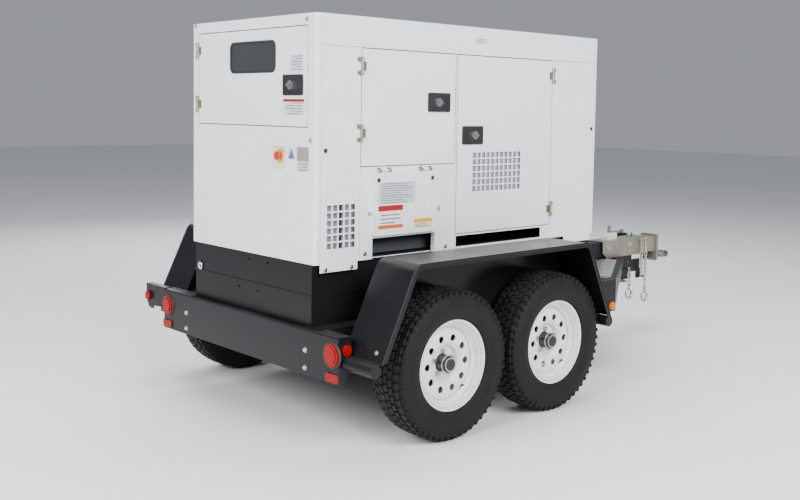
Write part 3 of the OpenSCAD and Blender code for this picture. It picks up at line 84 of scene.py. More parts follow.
eye_place = Vector((-4.4106, -3.9791, 1.4904))
ahead = Vector((0.67246, 0.73658, -0.07253))
level = Vector((0.73917, -0.67335, 0.01507))
upward = Vector((0.03773, 0.06374, 0.99725))
camera_data = bpy.data.cameras.new("camera")
camera_data.lens = 44.8
camera_data.sensor_width = 36
camera_data.shift_y = -0.086
camera = bpy.data.objects.new("camera", camera_data)
camera.rotation_mode = "QUATERNION"
camera.location = eye_place
camera.rotation_quaternion = Matrix((level, upward, -ahead)).transposed().to_quaternion()
bpy.context.scene.collection.objects.link(camera)
bpy.context.scene.camera = camera

# ---- Chassis, drawbar and axles
# Folded and welded steel channel in satin black enamel. Dust settles on what faces up,
# and road dirt fades in towards the wheels.


def look(name):
    material = bpy.data.materials.new(name)
    material.use_nodes = True
    tree = material.node_tree
    return material, tree, tree.nodes["Principled BSDF"]


def add(tree, kind, settings=None, **sockets):
    node = tree.nodes.new("ShaderNode" + kind)
    for key, value in (settings or {}).items():
        setattr(node, key, value)
    for key, value in sockets.items():
        socket = node.inputs[int(key[1:]) if key[0] == "i" and key[1:].isdigit() else key.replace("_", " ")]
        if isinstance(value, bpy.types.NodeSocket):
            tree.links.new(value, socket)
        else:
            socket.default_value = value
    return node


def place_of(tree, stretch=(1, 1, 1), turn=(0, 0, 0), shift=(0, 0, 0)):
    coords = add(tree, "TexCoord")
    return add(tree, "Mapping", Vector=coords.outputs["Object"], Scale=stretch, Rotation=turn,
               Location=shift).outputs["Vector"]


def noise(tree, place, scale, detail=4, rough=0.5):
    return add(tree, "TexNoise", Vector=place, Scale=scale, Detail=detail, Roughness=rough).outputs["Fac"]


def span(tree, value, low, high, to_low=0.0, to_high=1.0):
    return add(tree, "MapRange", {"clamp": True}, Value=value, i1=low, i2=high, i3=to_low,
               i4=to_high).outputs["Result"]


def sum_of(tree, how, a, b=0.0):
    return add(tree, "Math", {"operation": how}, i0=a, i1=b).outputs[0]


def product(tree, *values):
    result = values[0]
    for value in values[1:]:
        result = sum_of(tree, "MULTIPLY", result, value)
    return result


def blend_colour(tree, fac, a, b):
    mix = tree.nodes.new("ShaderNodeMix")
    mix.data_type = "RGBA"
    for socket, value in ((mix.inputs[0], fac), (mix.inputs[6], a), (mix.inputs[7], b)):
        if isinstance(value, bpy.types.NodeSocket):
            tree.links.new(value, socket)
        else:
            socket.default_value = value if socket is mix.inputs[0] else (*value[:3], 1)
    return mix.outputs[2]


def bump(tree, shader, height, distance, strength=1.0):
    node = add(tree, "Bump", Height=height, Distance=distance, Strength=strength)
    tree.links.new(node.outputs["Normal"], shader.inputs["Normal"])


def facing_up(tree, low=0.6, high=0.95):
    normal = add(tree, "NewGeometry").outputs["Normal"]
    return span(tree, add(tree, "SeparateXYZ", Vector=normal).outputs["Z"], low, high)


def enamel(name, colour, dust_and_highlight_tone, gloss, dust_and_highlight_share=0.35, low_dirt=0.0, peel=0.00006):
    material, tree, shader = look(name)
    place = place_of(tree)
    cloud = noise(tree, place, 3.0, 5)
    fine = noise(tree, place, 60.0, 3)
    height = add(tree, "SeparateXYZ", Vector=place).outputs["Z"]
    dirt = product(tree, span(tree, height, 0.95, 0.25), low_dirt)
    # Up-facing faces blend towards the given tone: real dust on most parts, a painted highlight on the bumper's top
    # flange.
    top = product(tree, facing_up(tree), dust_and_highlight_share)
    cover = product(tree, sum_of(tree, "ADD", dirt, top), span(tree, cloud, 0.3, 0.75, 0.35, 1.0))
    tone = blend_colour(tree, span(tree, fine, 0.3, 0.7), [c * 0.92 for c in colour], [c * 1.06 for c in colour])
    paint = blend_colour(tree, cover, tone, dust_and_highlight_tone)
    tree.links.new(paint, shader.inputs["Base Color"])
    rough = sum_of(tree, "ADD", span(tree, cloud, 0.3, 0.7, gloss - 0.05, gloss + 0.07),
                   product(tree, cover, 0.3))
    tree.links.new(rough, shader.inputs["Roughness"])
    shader.inputs["Specular IOR Level"].default_value = 0.5 if max(colour) > 0.1 else 0.22
    bump(tree, shader, noise(tree, place, 900.0, 2), peel)
    return material


def dress(material, *names):
    for name in names:
        data = nodes[name].data
        if nodes[name].material_slots:
            for slot in nodes[name].material_slots:
                slot.material = material
        else:
            data.materials.append(material)


dust_tone = (0.10, 0.097, 0.094)
chassis_paint = enamel("chassis_enamel", (0.0065, 0.0065, 0.0075), dust_tone, 0.34, 0.10, 0.06)
dress(chassis_paint, "rail_right", "rail_left", "cross_members", "drawbar", "coupler_bracket", "jack_tube",
      "axle_beams", "arm_rear_right", "arm_front_right", "arm_rear_left", "arm_front_left", "base_tank")

# ---- Bumper and lamps
# A pressed black bumper with round tail lamps, reflectors and side markers behind moulded lenses,
# and a bolted bracket for a number plate on the left.


def finish_piece(mesh, name, material, body, smooth=35):
    bmesh.ops.remove_doubles(mesh, verts=mesh.verts, dist=1e-6)
    data = bpy.data.meshes.new(name)
    mesh.to_mesh(data)
    mesh.free()
    piece = bpy.data.objects.new(name, data)
    bpy.context.scene.collection.objects.link(piece)
    data.materials.append(material)
    for face in data.polygons:
        face.use_smooth = True
    data.set_sharp_from_angle(angle=math.radians(smooth))
    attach(piece, body)
    return piece


def bevel_edges(mesh, edges, width, segments=3):
    bmesh.ops.bevel(mesh, geom=list(edges), offset=width, offset_type="OFFSET", segments=segments,
                    profile=0.5, affect="EDGES", material=-1, clamp_overlap=True)


def add_disc(mesh, centre, axis, radius, depth, edge, sides=48, tip=None):
    turn = Vector((0, 0, 1)).rotation_difference(Vector(axis)).to_matrix().to_4x4()
    place = Matrix.Translation(Vector(centre) + Vector(axis) * depth / 2) @ turn
    made = bmesh.ops.create_cone(mesh, cap_ends=True, segments=sides, radius1=radius,
                                 radius2=radius if tip is None else tip, depth=depth, matrix=place)
    rim = {e for v in made["verts"] for e in v.link_edges if e.calc_face_angle(0) > 0.6}
    if edge:
        bevel_edges(mesh, rim, edge)


def add_bolt(mesh, foot, axis, washer, head, washer_depth=0.0016, sides=28):
    # A thin washer under a hexagon head. The head is given as radius, height and edge.
    foot, axis = Vector(foot), Vector(axis)
    add_disc(mesh, foot, axis, washer, washer_depth, 0.0004, sides)
    add_disc(mesh, foot + axis * washer_depth, axis, head[0], head[1], head[2], 6)


def add_block(mesh, low, high, edge, corner=0.0, axis=None, segments=3):
    low, high = Vector(low), Vector(high)
    size = high - low
    place = Matrix.Translation((low + high) / 2) @ Matrix.Diagonal((*size, 1))
    made = bmesh.ops.create_cube(mesh, size=1, matrix=place)
    sides = {e for v in made["verts"] for e in v.link_edges}
    if corner:
        along = [e for e in sides if abs((e.verts[0].co - e.verts[1].co)[axis]) > size[axis] * 0.9]
        before = set(mesh.verts) - set(made["verts"])
        bevel_edges(mesh, along, corner, 6)
        sides = {e for v in set(mesh.verts) - before for e in v.link_edges}
        sides = {e for e in sides if abs((e.verts[0].co - e.verts[1].co)[axis]) < 1e-6
                 and e.calc_face_angle(0) > 1.0}
    if edge:
        bevel_edges(mesh, sides, edge, segments)


def moulded(name, colour, rough, scale=700.0, depth=0.00008, coat=0.0):
    material, tree, shader = look(name)
    place = place_of(tree)
    cloud = noise(tree, place, 12.0, 4)
    tone = blend_colour(tree, span(tree, cloud, 0.3, 0.7), [c * 0.88 for c in colour], [c * 1.1 for c in colour])
    tree.links.new(tone, shader.inputs["Base Color"])
    tree.links.new(span(tree, cloud, 0.3, 0.7, rough - 0.06, rough + 0.08), shader.inputs["Roughness"])
    shader.inputs["Coat Weight"].default_value = coat
    bump(tree, shader, noise(tree, place, scale, 2), depth)
    return material


def lens(name, colour, ribs):
    material, tree, shader = look(name)
    place = place_of(tree, (0, 1, 1))
    grid = add(tree, "TexVoronoi", {"distance": "CHEBYCHEV"}, Vector=place, Scale=ribs, Randomness=0.0)
    tone = blend_colour(tree, span(tree, grid.outputs["Distance"], 0.0, 0.5), colour, [c * 0.55 for c in colour])
    tree.links.new(tone, shader.inputs["Base Color"])
    shader.inputs["Roughness"].default_value = 0.22
    shader.inputs["Specular IOR Level"].default_value = 0.2
    # A faint emission in the lens colour: a painted glow on lenses and a reflector that no lamp lights.
    tree.links.new(tone, shader.inputs["Emission Color"])
    shader.inputs["Emission Strength"].default_value = 0.03
    bump(tree, shader, grid.outputs["Distance"], 0.0012, 0.6)
    return material


def steel(name, colour, rough, scale=40.0, spread=0.12, stretch=(1, 1, 1), depth=0.00004):
    material, tree, shader = look(name)
    place = place_of(tree, stretch)
    cloud = noise(tree, place, scale, 5, 0.6)
    tone = blend_colour(tree, span(tree, cloud, 0.3, 0.7), [c * (1 - spread) for c in colour],
                        [min(1, c * (1 + spread)) for c in colour])
    tree.links.new(tone, shader.inputs["Base Color"])
    shader.inputs["Metallic"].default_value = 1.0
    tree.links.new(span(tree, cloud, 0.3, 0.7, rough - 0.07, rough + 0.1), shader.inputs["Roughness"])
    bump(tree, shader, noise(tree, place, 600.0, 3), depth)
    return material


# The bumper's up-facing faces blend to a pale grey at a high share: a painted highlight on its top flange, not dust.
dress(enamel("bumper_enamel", (0.0065, 0.0065, 0.0075), (0.14, 0.14, 0.145), 0.27, 0.45, 0.06), "bumper")
red_lens = lens("red_lens", (0.36, 0.004, 0.003), 130.0)
dress(red_lens, "red_lamps")
dress(lens("amber_lens", (0.80, 0.24, 0.01), 130.0), "amber_lamps")

gasket = moulded("lamp_gasket", (0.02, 0.02, 0.02), 0.55)
rubber = moulded("plug_rubber", (0.018, 0.018, 0.018), 0.62)
bumper_low, bumper_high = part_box("bumper")
lamps_low, lamps_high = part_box("red_lamps")
lamp_face = lamps_low.x
lamp_height = 0.435
lamp_radius = 0.051
lamp_out = (lamps_high.y - 0.012) - 0.042
for side_name, side in (("right", -1), ("left", 1)):
    rings = bmesh.new()
    centre = Vector((lamp_face + 0.0135, side * lamp_out, lamp_height))
    for ring_radius, thick in ((lamp_radius + 0.0045, 0.0055), (lamp_radius * 0.55, 0.0012)):
        section = [rings.verts.new(centre + Vector((thick * math.cos(a) - (0.007 if thick < 0.002 else 0),
                                                    0, ring_radius + thick * math.sin(a))))
                   for a in (i * math.pi / 4 for i in range(8))]
        loop = [rings.edges.new((section[i], section[(i + 1) % 8])) for i in range(8)]
        bmesh.ops.spin(rings, geom=section + loop, cent=centre, axis=(1, 0, 0), angle=2 * math.pi, steps=48,
                       use_merge=True)
    bmesh.ops.recalc_face_normals(rings, faces=rings.faces)
    finish_piece(rings, "tail_lamp_gasket_" + side_name, gasket, "trailer")

bumper_bolts = bmesh.new()
for y in (-0.508, 0.508):
    for z in (0.343, 0.423):
        add_bolt(bumper_bolts, (lamp_face + 0.014, y, z), (-1, 0, 0), 0.0125, (0.0106, 0.0062, 0.001), 0.0018)
plate_light = bmesh.new()
add_block(plate_light, (bumper_low.x - 0.018, 0.755, 0.395), (bumper_low.x + 0.002, 0.805, 0.417), 0.004)
finish_piece(plate_light, "number_plate_light", moulded("clear_lens", (0.75, 0.76, 0.74), 0.12, coat=0.8), "trailer")
wing_lamp = bmesh.new()
add_disc(wing_lamp, (bumper_low.x + 0.006, bumper_high.y - 0.033, 0.457), (-1, 0, 0), 0.024, 0.016, 0.004)
finish_piece(wing_lamp, "bracket_reflector", red_lens, "trailer")
bright_bolt = steel("bright_bolt", (0.66, 0.65, 0.62), 0.3)
finish_piece(bumper_bolts, "bumper_bolts", bright_bolt, "trailer")

# ---- Wheels
# Steel rims in gloss white with two painted pin stripes, a black hub with a bright collar and a
# black grease cap, steel nuts, and trailer tyres with a blocked tread.


def band(tree, value, low, high):
    return product(tree, sum_of(tree, "GREATER_THAN", value, low), sum_of(tree, "LESS_THAN", value, high))


def about_axle(tree, centre):
    local = place_of(tree, shift=(-centre.x, -centre.y, -centre.z))
    parts = add(tree, "SeparateXYZ", Vector=local).outputs
    squares = [product(tree, parts[axis], parts[axis]) for axis in "XZ"]
    return local, sum_of(tree, "SQRT", sum_of(tree, "ADD", *squares)), parts["Y"]


def rim_look(name, centre, side):
    material, tree, shader = look(name)
    local, radius, across = about_axle(tree, centre)
    out = product(tree, across, float(side))

    cloud = noise(tree, local, 18.0, 5)
    white = blend_colour(tree, span(tree, cloud, 0.35, 0.75), (0.80, 0.80, 0.79), (0.70, 0.69, 0.67))
    outer_face = sum_of(tree, "GREATER_THAN", out, 0.05)
    blue = product(tree, band(tree, radius, 0.1972, 0.1988), outer_face)
    red = product(tree, band(tree, radius, 0.1905, 0.1919), outer_face)
    tone = blend_colour(tree, blue, white, (0.03, 0.07, 0.45))
    tone = blend_colour(tree, red, tone, (0.55, 0.02, 0.03))
    hub = product(tree, sum_of(tree, "LESS_THAN", radius, 0.0405), sum_of(tree, "GREATER_THAN", out, -0.012))
    drum = product(tree, sum_of(tree, "LESS_THAN", radius, 0.1285), sum_of(tree, "LESS_THAN", out, -0.0002))
    tone = blend_colour(tree, sum_of(tree, "MAXIMUM", hub, drum), tone, (0.02, 0.02, 0.021))
    nuts = product(tree, band(tree, radius, 0.041, 0.075), sum_of(tree, "GREATER_THAN", out, 0.0052))
    cap = product(tree, sum_of(tree, "LESS_THAN", radius, 0.0345), sum_of(tree, "GREATER_THAN", out, 0.0531))
    bright = sum_of(tree, "MAXIMUM", nuts, cap)
    tone = blend_colour(tree, bright, tone, (0.40, 0.395, 0.38))
    tree.links.new(tone, shader.inputs["Base Color"])
    tree.links.new(bright, shader.inputs["Metallic"])
    tree.links.new(span(tree, cloud, 0.3, 0.7, 0.22, 0.36), shader.inputs["Roughness"])
    bump(tree, shader, noise(tree, local, 800.0, 2), 0.00004)
    return material


def tyre_look(name, centre):
    material, tree, shader = look(name)
    local, radius, _ = about_axle(tree, centre)
    cloud = noise(tree, local, 9.0, 6)
    worn = product(tree, span(tree, radius, 0.334, 0.343), span(tree, cloud, 0.35, 0.65))
    tone = blend_colour(tree, span(tree, cloud, 0.3, 0.75), (0.006, 0.006, 0.006), (0.013, 0.0125, 0.012))
    tone = blend_colour(tree, product(tree, worn, 0.55), tone, (0.035, 0.033, 0.030))
    tree.links.new(tone, shader.inputs["Base Color"])
    tree.links.new(span(tree, cloud, 0.3, 0.7, 0.55, 0.75), shader.inputs["Roughness"])
    shader.inputs["Specular IOR Level"].default_value = 0.18
    rings = sum_of(tree, "SINE", product(tree, radius, 1500.0))
    side_band = band(tree, radius, 0.226, 0.238)
    height = sum_of(tree, "ADD", product(tree, rings, side_band), noise(tree, local, 300.0, 4))
    bump(tree, shader, height, 0.0004, 0.6)
    return material


def spin_lugs(mesh, lug, centre, pitches):
    # Repeats one tread lug round the axle and adds the ring to the tyre.
    bmesh.ops.spin(lug, geom=lug.verts[:] + lug.edges[:] + lug.faces[:], cent=centre, axis=(0, 1, 0),
                   angle=2 * math.pi * (pitches - 1) / pitches, steps=pitches - 1, use_duplicate=True)
    data = bpy.data.meshes.new("lug")
    lug.to_mesh(data)
    lug.free()
    mesh.from_mesh(data)
    bpy.data.meshes.remove(data)


def build_tyre(centre, outer, half):
    mesh = bmesh.new()
    tread_depth = 0.0085
    base = outer - tread_depth
    section = [(0.1915, 0.058), (0.199, 0.0695), (0.2075, 0.0725), (0.2105, 0.0805), (0.2165, 0.0865),
               (0.219, 0.0895), (0.224, 0.0905), (0.240, 0.0975), (0.2405, 0.0985), (0.258, 0.1015),
               (0.2585, half), (0.272, half), (0.2725, 0.1010), (0.290, 0.0990), (0.305, 0.0955),
               (0.3055, 0.0965), (0.318, 0.0915), (0.330, 0.0810), (base - 0.001, 0.0700), (base, 0.0560),
               (base, 0.030), (base, 0.0)]
    both = section + [(r, -w) for r, w in reversed(section[:-1])]
    inner = [(0.330 - 0.012, -0.060), (0.270, -0.088), (0.202, -0.048), (0.1915, -0.050)]
    loop_points = both + inner + [(r, -w) for r, w in reversed(inner)]
    verts = [mesh.verts.new(centre + Vector((0, w, r))) for r, w in loop_points]
    edges = [mesh.edges.new((verts[i], verts[(i + 1) % len(verts)])) for i in range(len(verts))]
    bmesh.ops.spin(mesh, geom=verts + edges, cent=centre, axis=(0, 1, 0), angle=2 * math.pi, steps=96, use_merge=True)
    bmesh.ops.recalc_face_normals(mesh, faces=mesh.faces)
    pitches = 54
    step = 2 * math.pi / pitches
    rows = ((-0.0625, 0.030, 0.0), (-0.0300, 0.026, 0.5), (0.0, 0.024, 0.0), (0.0300, 0.026, 0.5), (0.0625, 0.030, 0.0))
    for row, width, lag in rows:
        length = outer * step * 0.80
        lug = bmesh.new()
        edge_drop = 0.004 if abs(row) > 0.05 else 0.0
        add_block(lug, (-length / 2, row - width / 2, base - 0.006),
                  (length / 2, row + width / 2, outer - edge_drop - 0.0004), 0.0015, segments=1)
        shear = Matrix.Identity(4)
        shear[0][1] = 0.28 if row > 0 else -0.28
        placed = Matrix.Translation(centre) @ Matrix.Rotation(lag * step, 4, "Y") @ shear
        bmesh.ops.transform(lug, matrix=placed, verts=lug.verts)
        spin_lugs(mesh, lug, centre, pitches)
    for side in (-1, 1):
        lug = bmesh.new()
        add_block(lug, (-0.0085, side * 0.083 - 0.010, outer - 0.036), (0.0085, side * 0.083 + 0.010, outer - 0.012),
                  0.002, segments=1)
        bmesh.ops.transform(lug, matrix=Matrix.Translation(centre), verts=lug.verts)
        spin_lugs(mesh, lug, centre, pitches)
    return mesh


valve_rubber = moulded("valve_rubber", (0.015, 0.015, 0.015), 0.5)
for corner in ("rear_right", "front_right", "rear_left", "front_left"):
    side = -1 if corner.endswith("right") else 1
    low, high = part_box("tyre_" + corner)
    centre = (low + high) / 2
    tyre = finish_piece(build_tyre(centre, (high.z - low.z) / 2, (high.y - low.y) / 2), "trailer_tyre_" + corner,
                        tyre_look("tyre_rubber_" + corner, centre), "wheel_" + corner, 30)
    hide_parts("tyre_" + corner)
    dress(rim_look("rim_enamel_" + corner, centre, side), "rim_" + corner)
    valve = bmesh.new()
    foot = centre + Vector((0.163 * math.cos(-0.85), side * 0.020, 0.163 * math.sin(-0.85)))
    lean = Vector((-0.45 * math.cos(-0.85), side, -0.45 * math.sin(-0.85))).normalized()
    add_disc(valve, foot, lean, 0.006, 0.022, 0.001, 16, 0.0042)
    add_disc(valve, foot + lean * 0.020, lean, 0.0046, 0.013, 0.001, 16)
    finish_piece(valve, "valve_stem_" + corner, valve_rubber, "wheel_" + corner)
    plug = bmesh.new()
    add_disc(plug, centre + Vector((0, side * 0.0615, 0)), (0, side, 0), 0.0265, 0.0035, 0.0012, 40)
    add_disc(plug, centre + Vector((0, side * 0.0650, 0)), (0, side, 0), 0.0105, 0.0025, 0.0008, 24)
    finish_piece(plug, "grease_plug_" + corner, rubber, "wheel_" + corner)
    collar = bmesh.new()
    add_disc(collar, centre + Vector((0, side * 0.040, 0)), (0, side, 0), 0.0392, 0.006, 0.0015, 40)
    finish_piece(collar, "hub_collar_" + corner, steel("hub_zinc_" + corner, (0.6, 0.6, 0.58), 0.3), "wheel_" + corner)

# ---- Fenders
# Formed black sheet with a rolled bead along its outer edge, held to the posts by bright bolts.


def join_loops(mesh, loops):
    # Fills each pair of closed loops with quads.
    for a, b in loops:
        for i in range(len(a)):
            j = (i + 1) % len(a)
            mesh.faces.new((a[i], a[j], b[j], b[i]))


fender_paint = enamel("fender_enamel", (0.0065, 0.0065, 0.0075), dust_tone, 0.24, 0.14, 0.05)
dress(fender_paint, "fender_right", "fender_left")
for side_name, side in (("right", -1), ("left", 1)):
    low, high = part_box("fender_" + side_name)
    lean = math.atan2((high.x - low.x) / 2 - 0.6025, high.z - low.z)
    bolts = bmesh.new()
    for end, along in ((low.x, -1), (high.x, 1)):
        out = Vector((along * math.cos(lean), 0, math.sin(lean)))
        rise = 0.035
        foot = Vector((end - along * rise * math.tan(lean), side * 0.881, low.z + rise))
        add_bolt(bolts, foot, out, 0.0105, (0.0078, 0.0052, 0.0008), 0.0015, 24)
    finish_piece(bolts, "fender_bolts_" + side_name, bright_bolt, "trailer")

for side_name, side in (("right", -1), ("left", 1)):
    low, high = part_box("fender_" + side_name)
    edge = side * (max(abs(low.y), abs(high.y)) - 0.0015)
    slope = math.atan2((high.x - low.x) / 2 - 0.6025, high.z - low.z)
    middle, top = (low.x + high.x) / 2, high.z
    line = [(low.x, low.z)]
    bend_z = top - 0.060
    bend_x = 0.6025 - 0.060 * math.tan(math.pi / 4 - slope / 2)
    arc = [(bend_x + 0.060 * math.cos(a), bend_z + 0.060 * math.sin(a))
           for a in (slope + i * (math.pi / 2 - slope) / 10 for i in range(11))]
    line += [(middle - x, z) for x, z in arc] + [(middle + x, z) for x, z in reversed(arc)] + [(high.x, low.z)]
    bead = bmesh.new()
    loops = []
    for i, (x, z) in enumerate(line):
        before, after = Vector(line[max(i - 1, 0)]), Vector(line[min(i + 1, len(line) - 1)])
        along = (after - before).normalized()
        out = Vector((-along.y, along.x))
        loops.append([bead.verts.new((x + out.x * (0.0048 * math.cos(a) - 0.0032), edge + 0.0048 * math.sin(a),
                                      z + out.y * (0.0048 * math.cos(a) - 0.0032)))
                      for a in (k * math.pi / 6 for k in range(12))])
    join_loops(bead, zip(loops, loops[1:]))
    bead.faces.new(loops[0])
    bead.faces.new(loops[-1][::-1])
    bmesh.ops.recalc_face_normals(bead, faces=bead.faces)
    finish_piece(bead, "fender_bead_" + side_name, fender_paint, "trailer", 50)

# ---- Drawbar deck
# Bright aluminium checker plate between the drawbar rails, with raised lozenges that lean both ways.
checker, tree, shader = look("checker_plate")
pitch = 0.036
place = place_of(tree, (1 / pitch, 1 / pitch, 1))
heights = []
for turn, shift in ((0.785, 0.0), (-0.785, 0.5)):
    cell = add(tree, "VectorMath", {"operation": "ADD"}, i0=place, i1=(shift, shift, 0)).outputs[0]
    cell = add(tree, "VectorMath", {"operation": "FRACTION"}, i0=cell).outputs[0]
    cell = add(tree, "VectorMath", {"operation": "SUBTRACT"}, i0=cell, i1=(0.5, 0.5, 0)).outputs[0]
    cell = add(tree, "VectorRotate", {"rotation_type": "Z_AXIS"}, Vector=cell, Angle=turn).outputs[0]
    parts = add(tree, "SeparateXYZ", Vector=cell)
    across = product(tree, sum_of(tree, "ABSOLUTE", parts.outputs["X"]), 9.0)
    along = product(tree, sum_of(tree, "ABSOLUTE", parts.outputs["Y"]), 2.6)
    heights.append(span(tree, sum_of(tree, "ADD", across, along), 1.0, 0.6))
height = sum_of(tree, "MAXIMUM", *heights)
scuff = noise(tree, place_of(tree), 25.0, 6)
tree.links.new(blend_colour(tree, span(tree, scuff, 0.35, 0.7), (0.74, 0.75, 0.77), (0.58, 0.58, 0.58)),
               shader.inputs["Base Color"])
shader.inputs["Metallic"].default_value = 1.0
tree.links.new(span(tree, scuff, 0.3, 0.7, 0.24, 0.42), shader.inputs["Roughness"])
bump(tree, shader, height, 0.0015)
dress(checker, "deck_plate")

# ---- Surge coupler
# Galvanised housing and slide, a dark forged tow eye, white reservoir cap, zinc nuts and teal brake fittings.


def galvanised(name, colour, rough):
    material, tree, shader = look(name)
    place = place_of(tree)
    spangle = add(tree, "TexVoronoi", Vector=place, Scale=55.0)
    cloud = noise(tree, place, 7.0, 5)
    tone = blend_colour(tree, span(tree, spangle.outputs["Distance"], 0.1, 0.7), [c * 0.86 for c in colour], colour)
    tone = blend_colour(tree, span(tree, cloud, 0.5, 0.8, 0.0, 0.5), tone, [c * 0.6 for c in colour])
    tree.links.new(tone, shader.inputs["Base Color"])
    shader.inputs["Metallic"].default_value = 0.75
    tree.links.new(span(tree, cloud, 0.3, 0.7, rough - 0.08, rough + 0.1), shader.inputs["Roughness"])
    bump(tree, shader, noise(tree, place, 400.0, 3), 0.00008)
    return material


zinc_coat = galvanised("galvanised_coat", (0.36, 0.325, 0.27), 0.44)
dress(zinc_coat, "actuator_case", "actuator_slide", "jack_leg", "jack_crank")
dress(steel("forged_eye", (0.17, 0.17, 0.18), 0.42, 60.0, 0.2, depth=0.0003), "tow_eye")
dress(moulded("reservoir_white", (0.74, 0.74, 0.71), 0.42), "master_cylinder")
case_low, case_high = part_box("actuator_case")
front_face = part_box("actuator_slide")[1].x
nuts = bmesh.new()
for side in (-1, 1):
    foot = Vector((front_face, side * 0.044, case_low.z + 0.055))
    add_disc(nuts, foot, (1, 0, 0), 0.0165, 0.003, 0.0005, 32)
    add_disc(nuts, foot + Vector((0.003, 0, 0)), (1, 0, 0), 0.0135, 0.011, 0.001, 6)
    add_disc(nuts, foot + Vector((0.014, 0, 0)), (1, 0, 0), 0.0078, 0.008, 0.001, 20)
finish_piece(nuts, "slide_nuts", steel("orange_zinc", (0.62, 0.36, 0.16), 0.4), "surge_coupler")
case_bolt = bmesh.new()
for along in (0.060, 0.303):
    foot = Vector((case_low.x + along, -0.060, case_low.z + (0.070 if along < 0.1 else 0.080)))
    add_disc(case_bolt, foot, (0, -1, 0), 0.0165, 0.0025, 0.0005, 32)
    add_disc(case_bolt, foot + Vector((0, -0.0025, 0)), (0, -1, 0), 0.0128, 0.009, 0.001, 6)
finish_piece(case_bolt, "housing_bolts", bright_bolt, "trailer")
fittings = bmesh.new()
for along, across in ((0.385, 0.018), (0.430, 0.018), (0.385, -0.020)):
    foot = Vector((case_low.x + along, across, case_high.z))
    add_disc(fittings, foot, (0, 0, 1), 0.0085, 0.009, 0.001, 6)
    add_disc(fittings, foot + Vector((0, 0, 0.009)), (0, 0, 1), 0.0052, 0.016, 0.001, 20)
finish_piece(fittings, "brake_fittings", steel("teal_anodised", (0.05, 0.36, 0.38), 0.32), "trailer")
cap_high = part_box("master_cylinder")[1]
ribs = bmesh.new()
cap_centre = Vector((cap_high.x - 0.027, 0, cap_high.z))
for i in range(20):
    a = i * math.pi / 10
    foot = cap_centre + Vector((0.0247 * math.cos(a), 0.0247 * math.sin(a), -0.022))
    add_disc(ribs, foot, (0, 0, 1), 0.0022, 0.020, 0.0006, 8)
finish_piece(ribs, "reservoir_cap_ribs", moulded("cap_ribs", (0.72, 0.72, 0.69), 0.45), "trailer")

# ---- Jack
# Swivel jack: black tube, and a galvanised leg and crank. A turned collar holds the crank.


def add_ring(mesh, centre, axis, section, sides=48):
    axis = Vector(axis)
    across = axis.orthogonal().normalized()
    verts = [mesh.verts.new(Vector(centre) + across * r + axis * h) for r, h in section]
    edges = [mesh.edges.new((verts[i], verts[(i + 1) % len(verts)])) for i in range(len(verts))]
    bmesh.ops.spin(mesh, geom=verts + edges, cent=Vector(centre), axis=axis, angle=2 * math.pi, steps=sides,
                   use_merge=True)
    bmesh.ops.recalc_face_normals(mesh, faces=mesh.faces)


crank_low, crank_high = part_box("jack_crank")
collar = bmesh.new()
collar_foot = Vector((crank_low.x + 0.012, (crank_low.y + crank_high.y) / 2, crank_high.z - 0.006))
add_ring(collar, collar_foot, (0, 0, 1),
         ((0.0118, 0.0), (0.0140, 0.001), (0.0146, 0.004), (0.0140, 0.007), (0.0118, 0.008)), 32)
finish_piece(collar, "crank_collar", bright_bolt, "jack_crank")

# ---- Safety chains
# Welded zinc-plated links and forged slip hooks, each with a spring keeper across its mouth.
dress(steel("chain_zinc", (0.62, 0.58, 0.48), 0.34, 90.0, 0.25), "chain_front", "chain_rear", "hook_front", "hook_rear")
for name in ("hook_front", "hook_rear"):
    low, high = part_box(name)
    middle = (low + high) / 2
    keeper = bmesh.new()
    ring = Vector((middle.x, middle.y, low.z + 0.038))
    start = ring + Vector((-0.026, 0, 0.017))
    reach = Vector((0.030, 0, 0.012))
    add_disc(keeper, start, reach.normalized(), 0.0028, reach.length, 0.0005, 12)
    add_disc(keeper, start + Vector((0, -0.009, 0)), (0, 1, 0), 0.0045, 0.018, 0.0008, 16)
    finish_piece(keeper, name + "_keeper", bright_bolt, name)

# ---- Base and case
# White powder-coated sheet on a black fuel tank base. The white dulls towards the bottom edges.
white_coat = enamel("white_powder", (0.82, 0.83, 0.85), (0.50, 0.50, 0.49), 0.30, 0.10, 0.06, 0.00007)
dress(white_coat, "case_floor", "outlet_frame", "roof", "rear_skin", "right_skin", "left_skin", "front_skin",
      "terminal_cover")
hinged, tree, shader = look("hinged_white")
place = place_of(tree)
cloud, parts = noise(tree, place, 3.0, 5), add(tree, "SeparateXYZ", Vector=place)
proud = sum_of(tree, "MAXIMUM", sum_of(tree, "GREATER_THAN", sum_of(tree, "ABSOLUTE", parts.outputs["Y"]), 0.5174),
               sum_of(tree, "LESS_THAN", parts.outputs["X"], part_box("rear_skin")[0].x - 0.0004))
tone = blend_colour(tree, span(tree, cloud, 0.3, 0.7), (0.80, 0.81, 0.83), (0.83, 0.84, 0.86))
tree.links.new(blend_colour(tree, proud, tone, (0.46, 0.40, 0.30)), shader.inputs["Base Color"])
tree.links.new(proud, shader.inputs["Metallic"])
tree.links.new(span(tree, cloud, 0.3, 0.7, 0.26, 0.38), shader.inputs["Roughness"])
bump(tree, shader, noise(tree, place, 900.0, 2), 0.00007)
dress(hinged, "control_door", "door_right_rear", "door_right_front", "door_left_rear", "door_left_front")

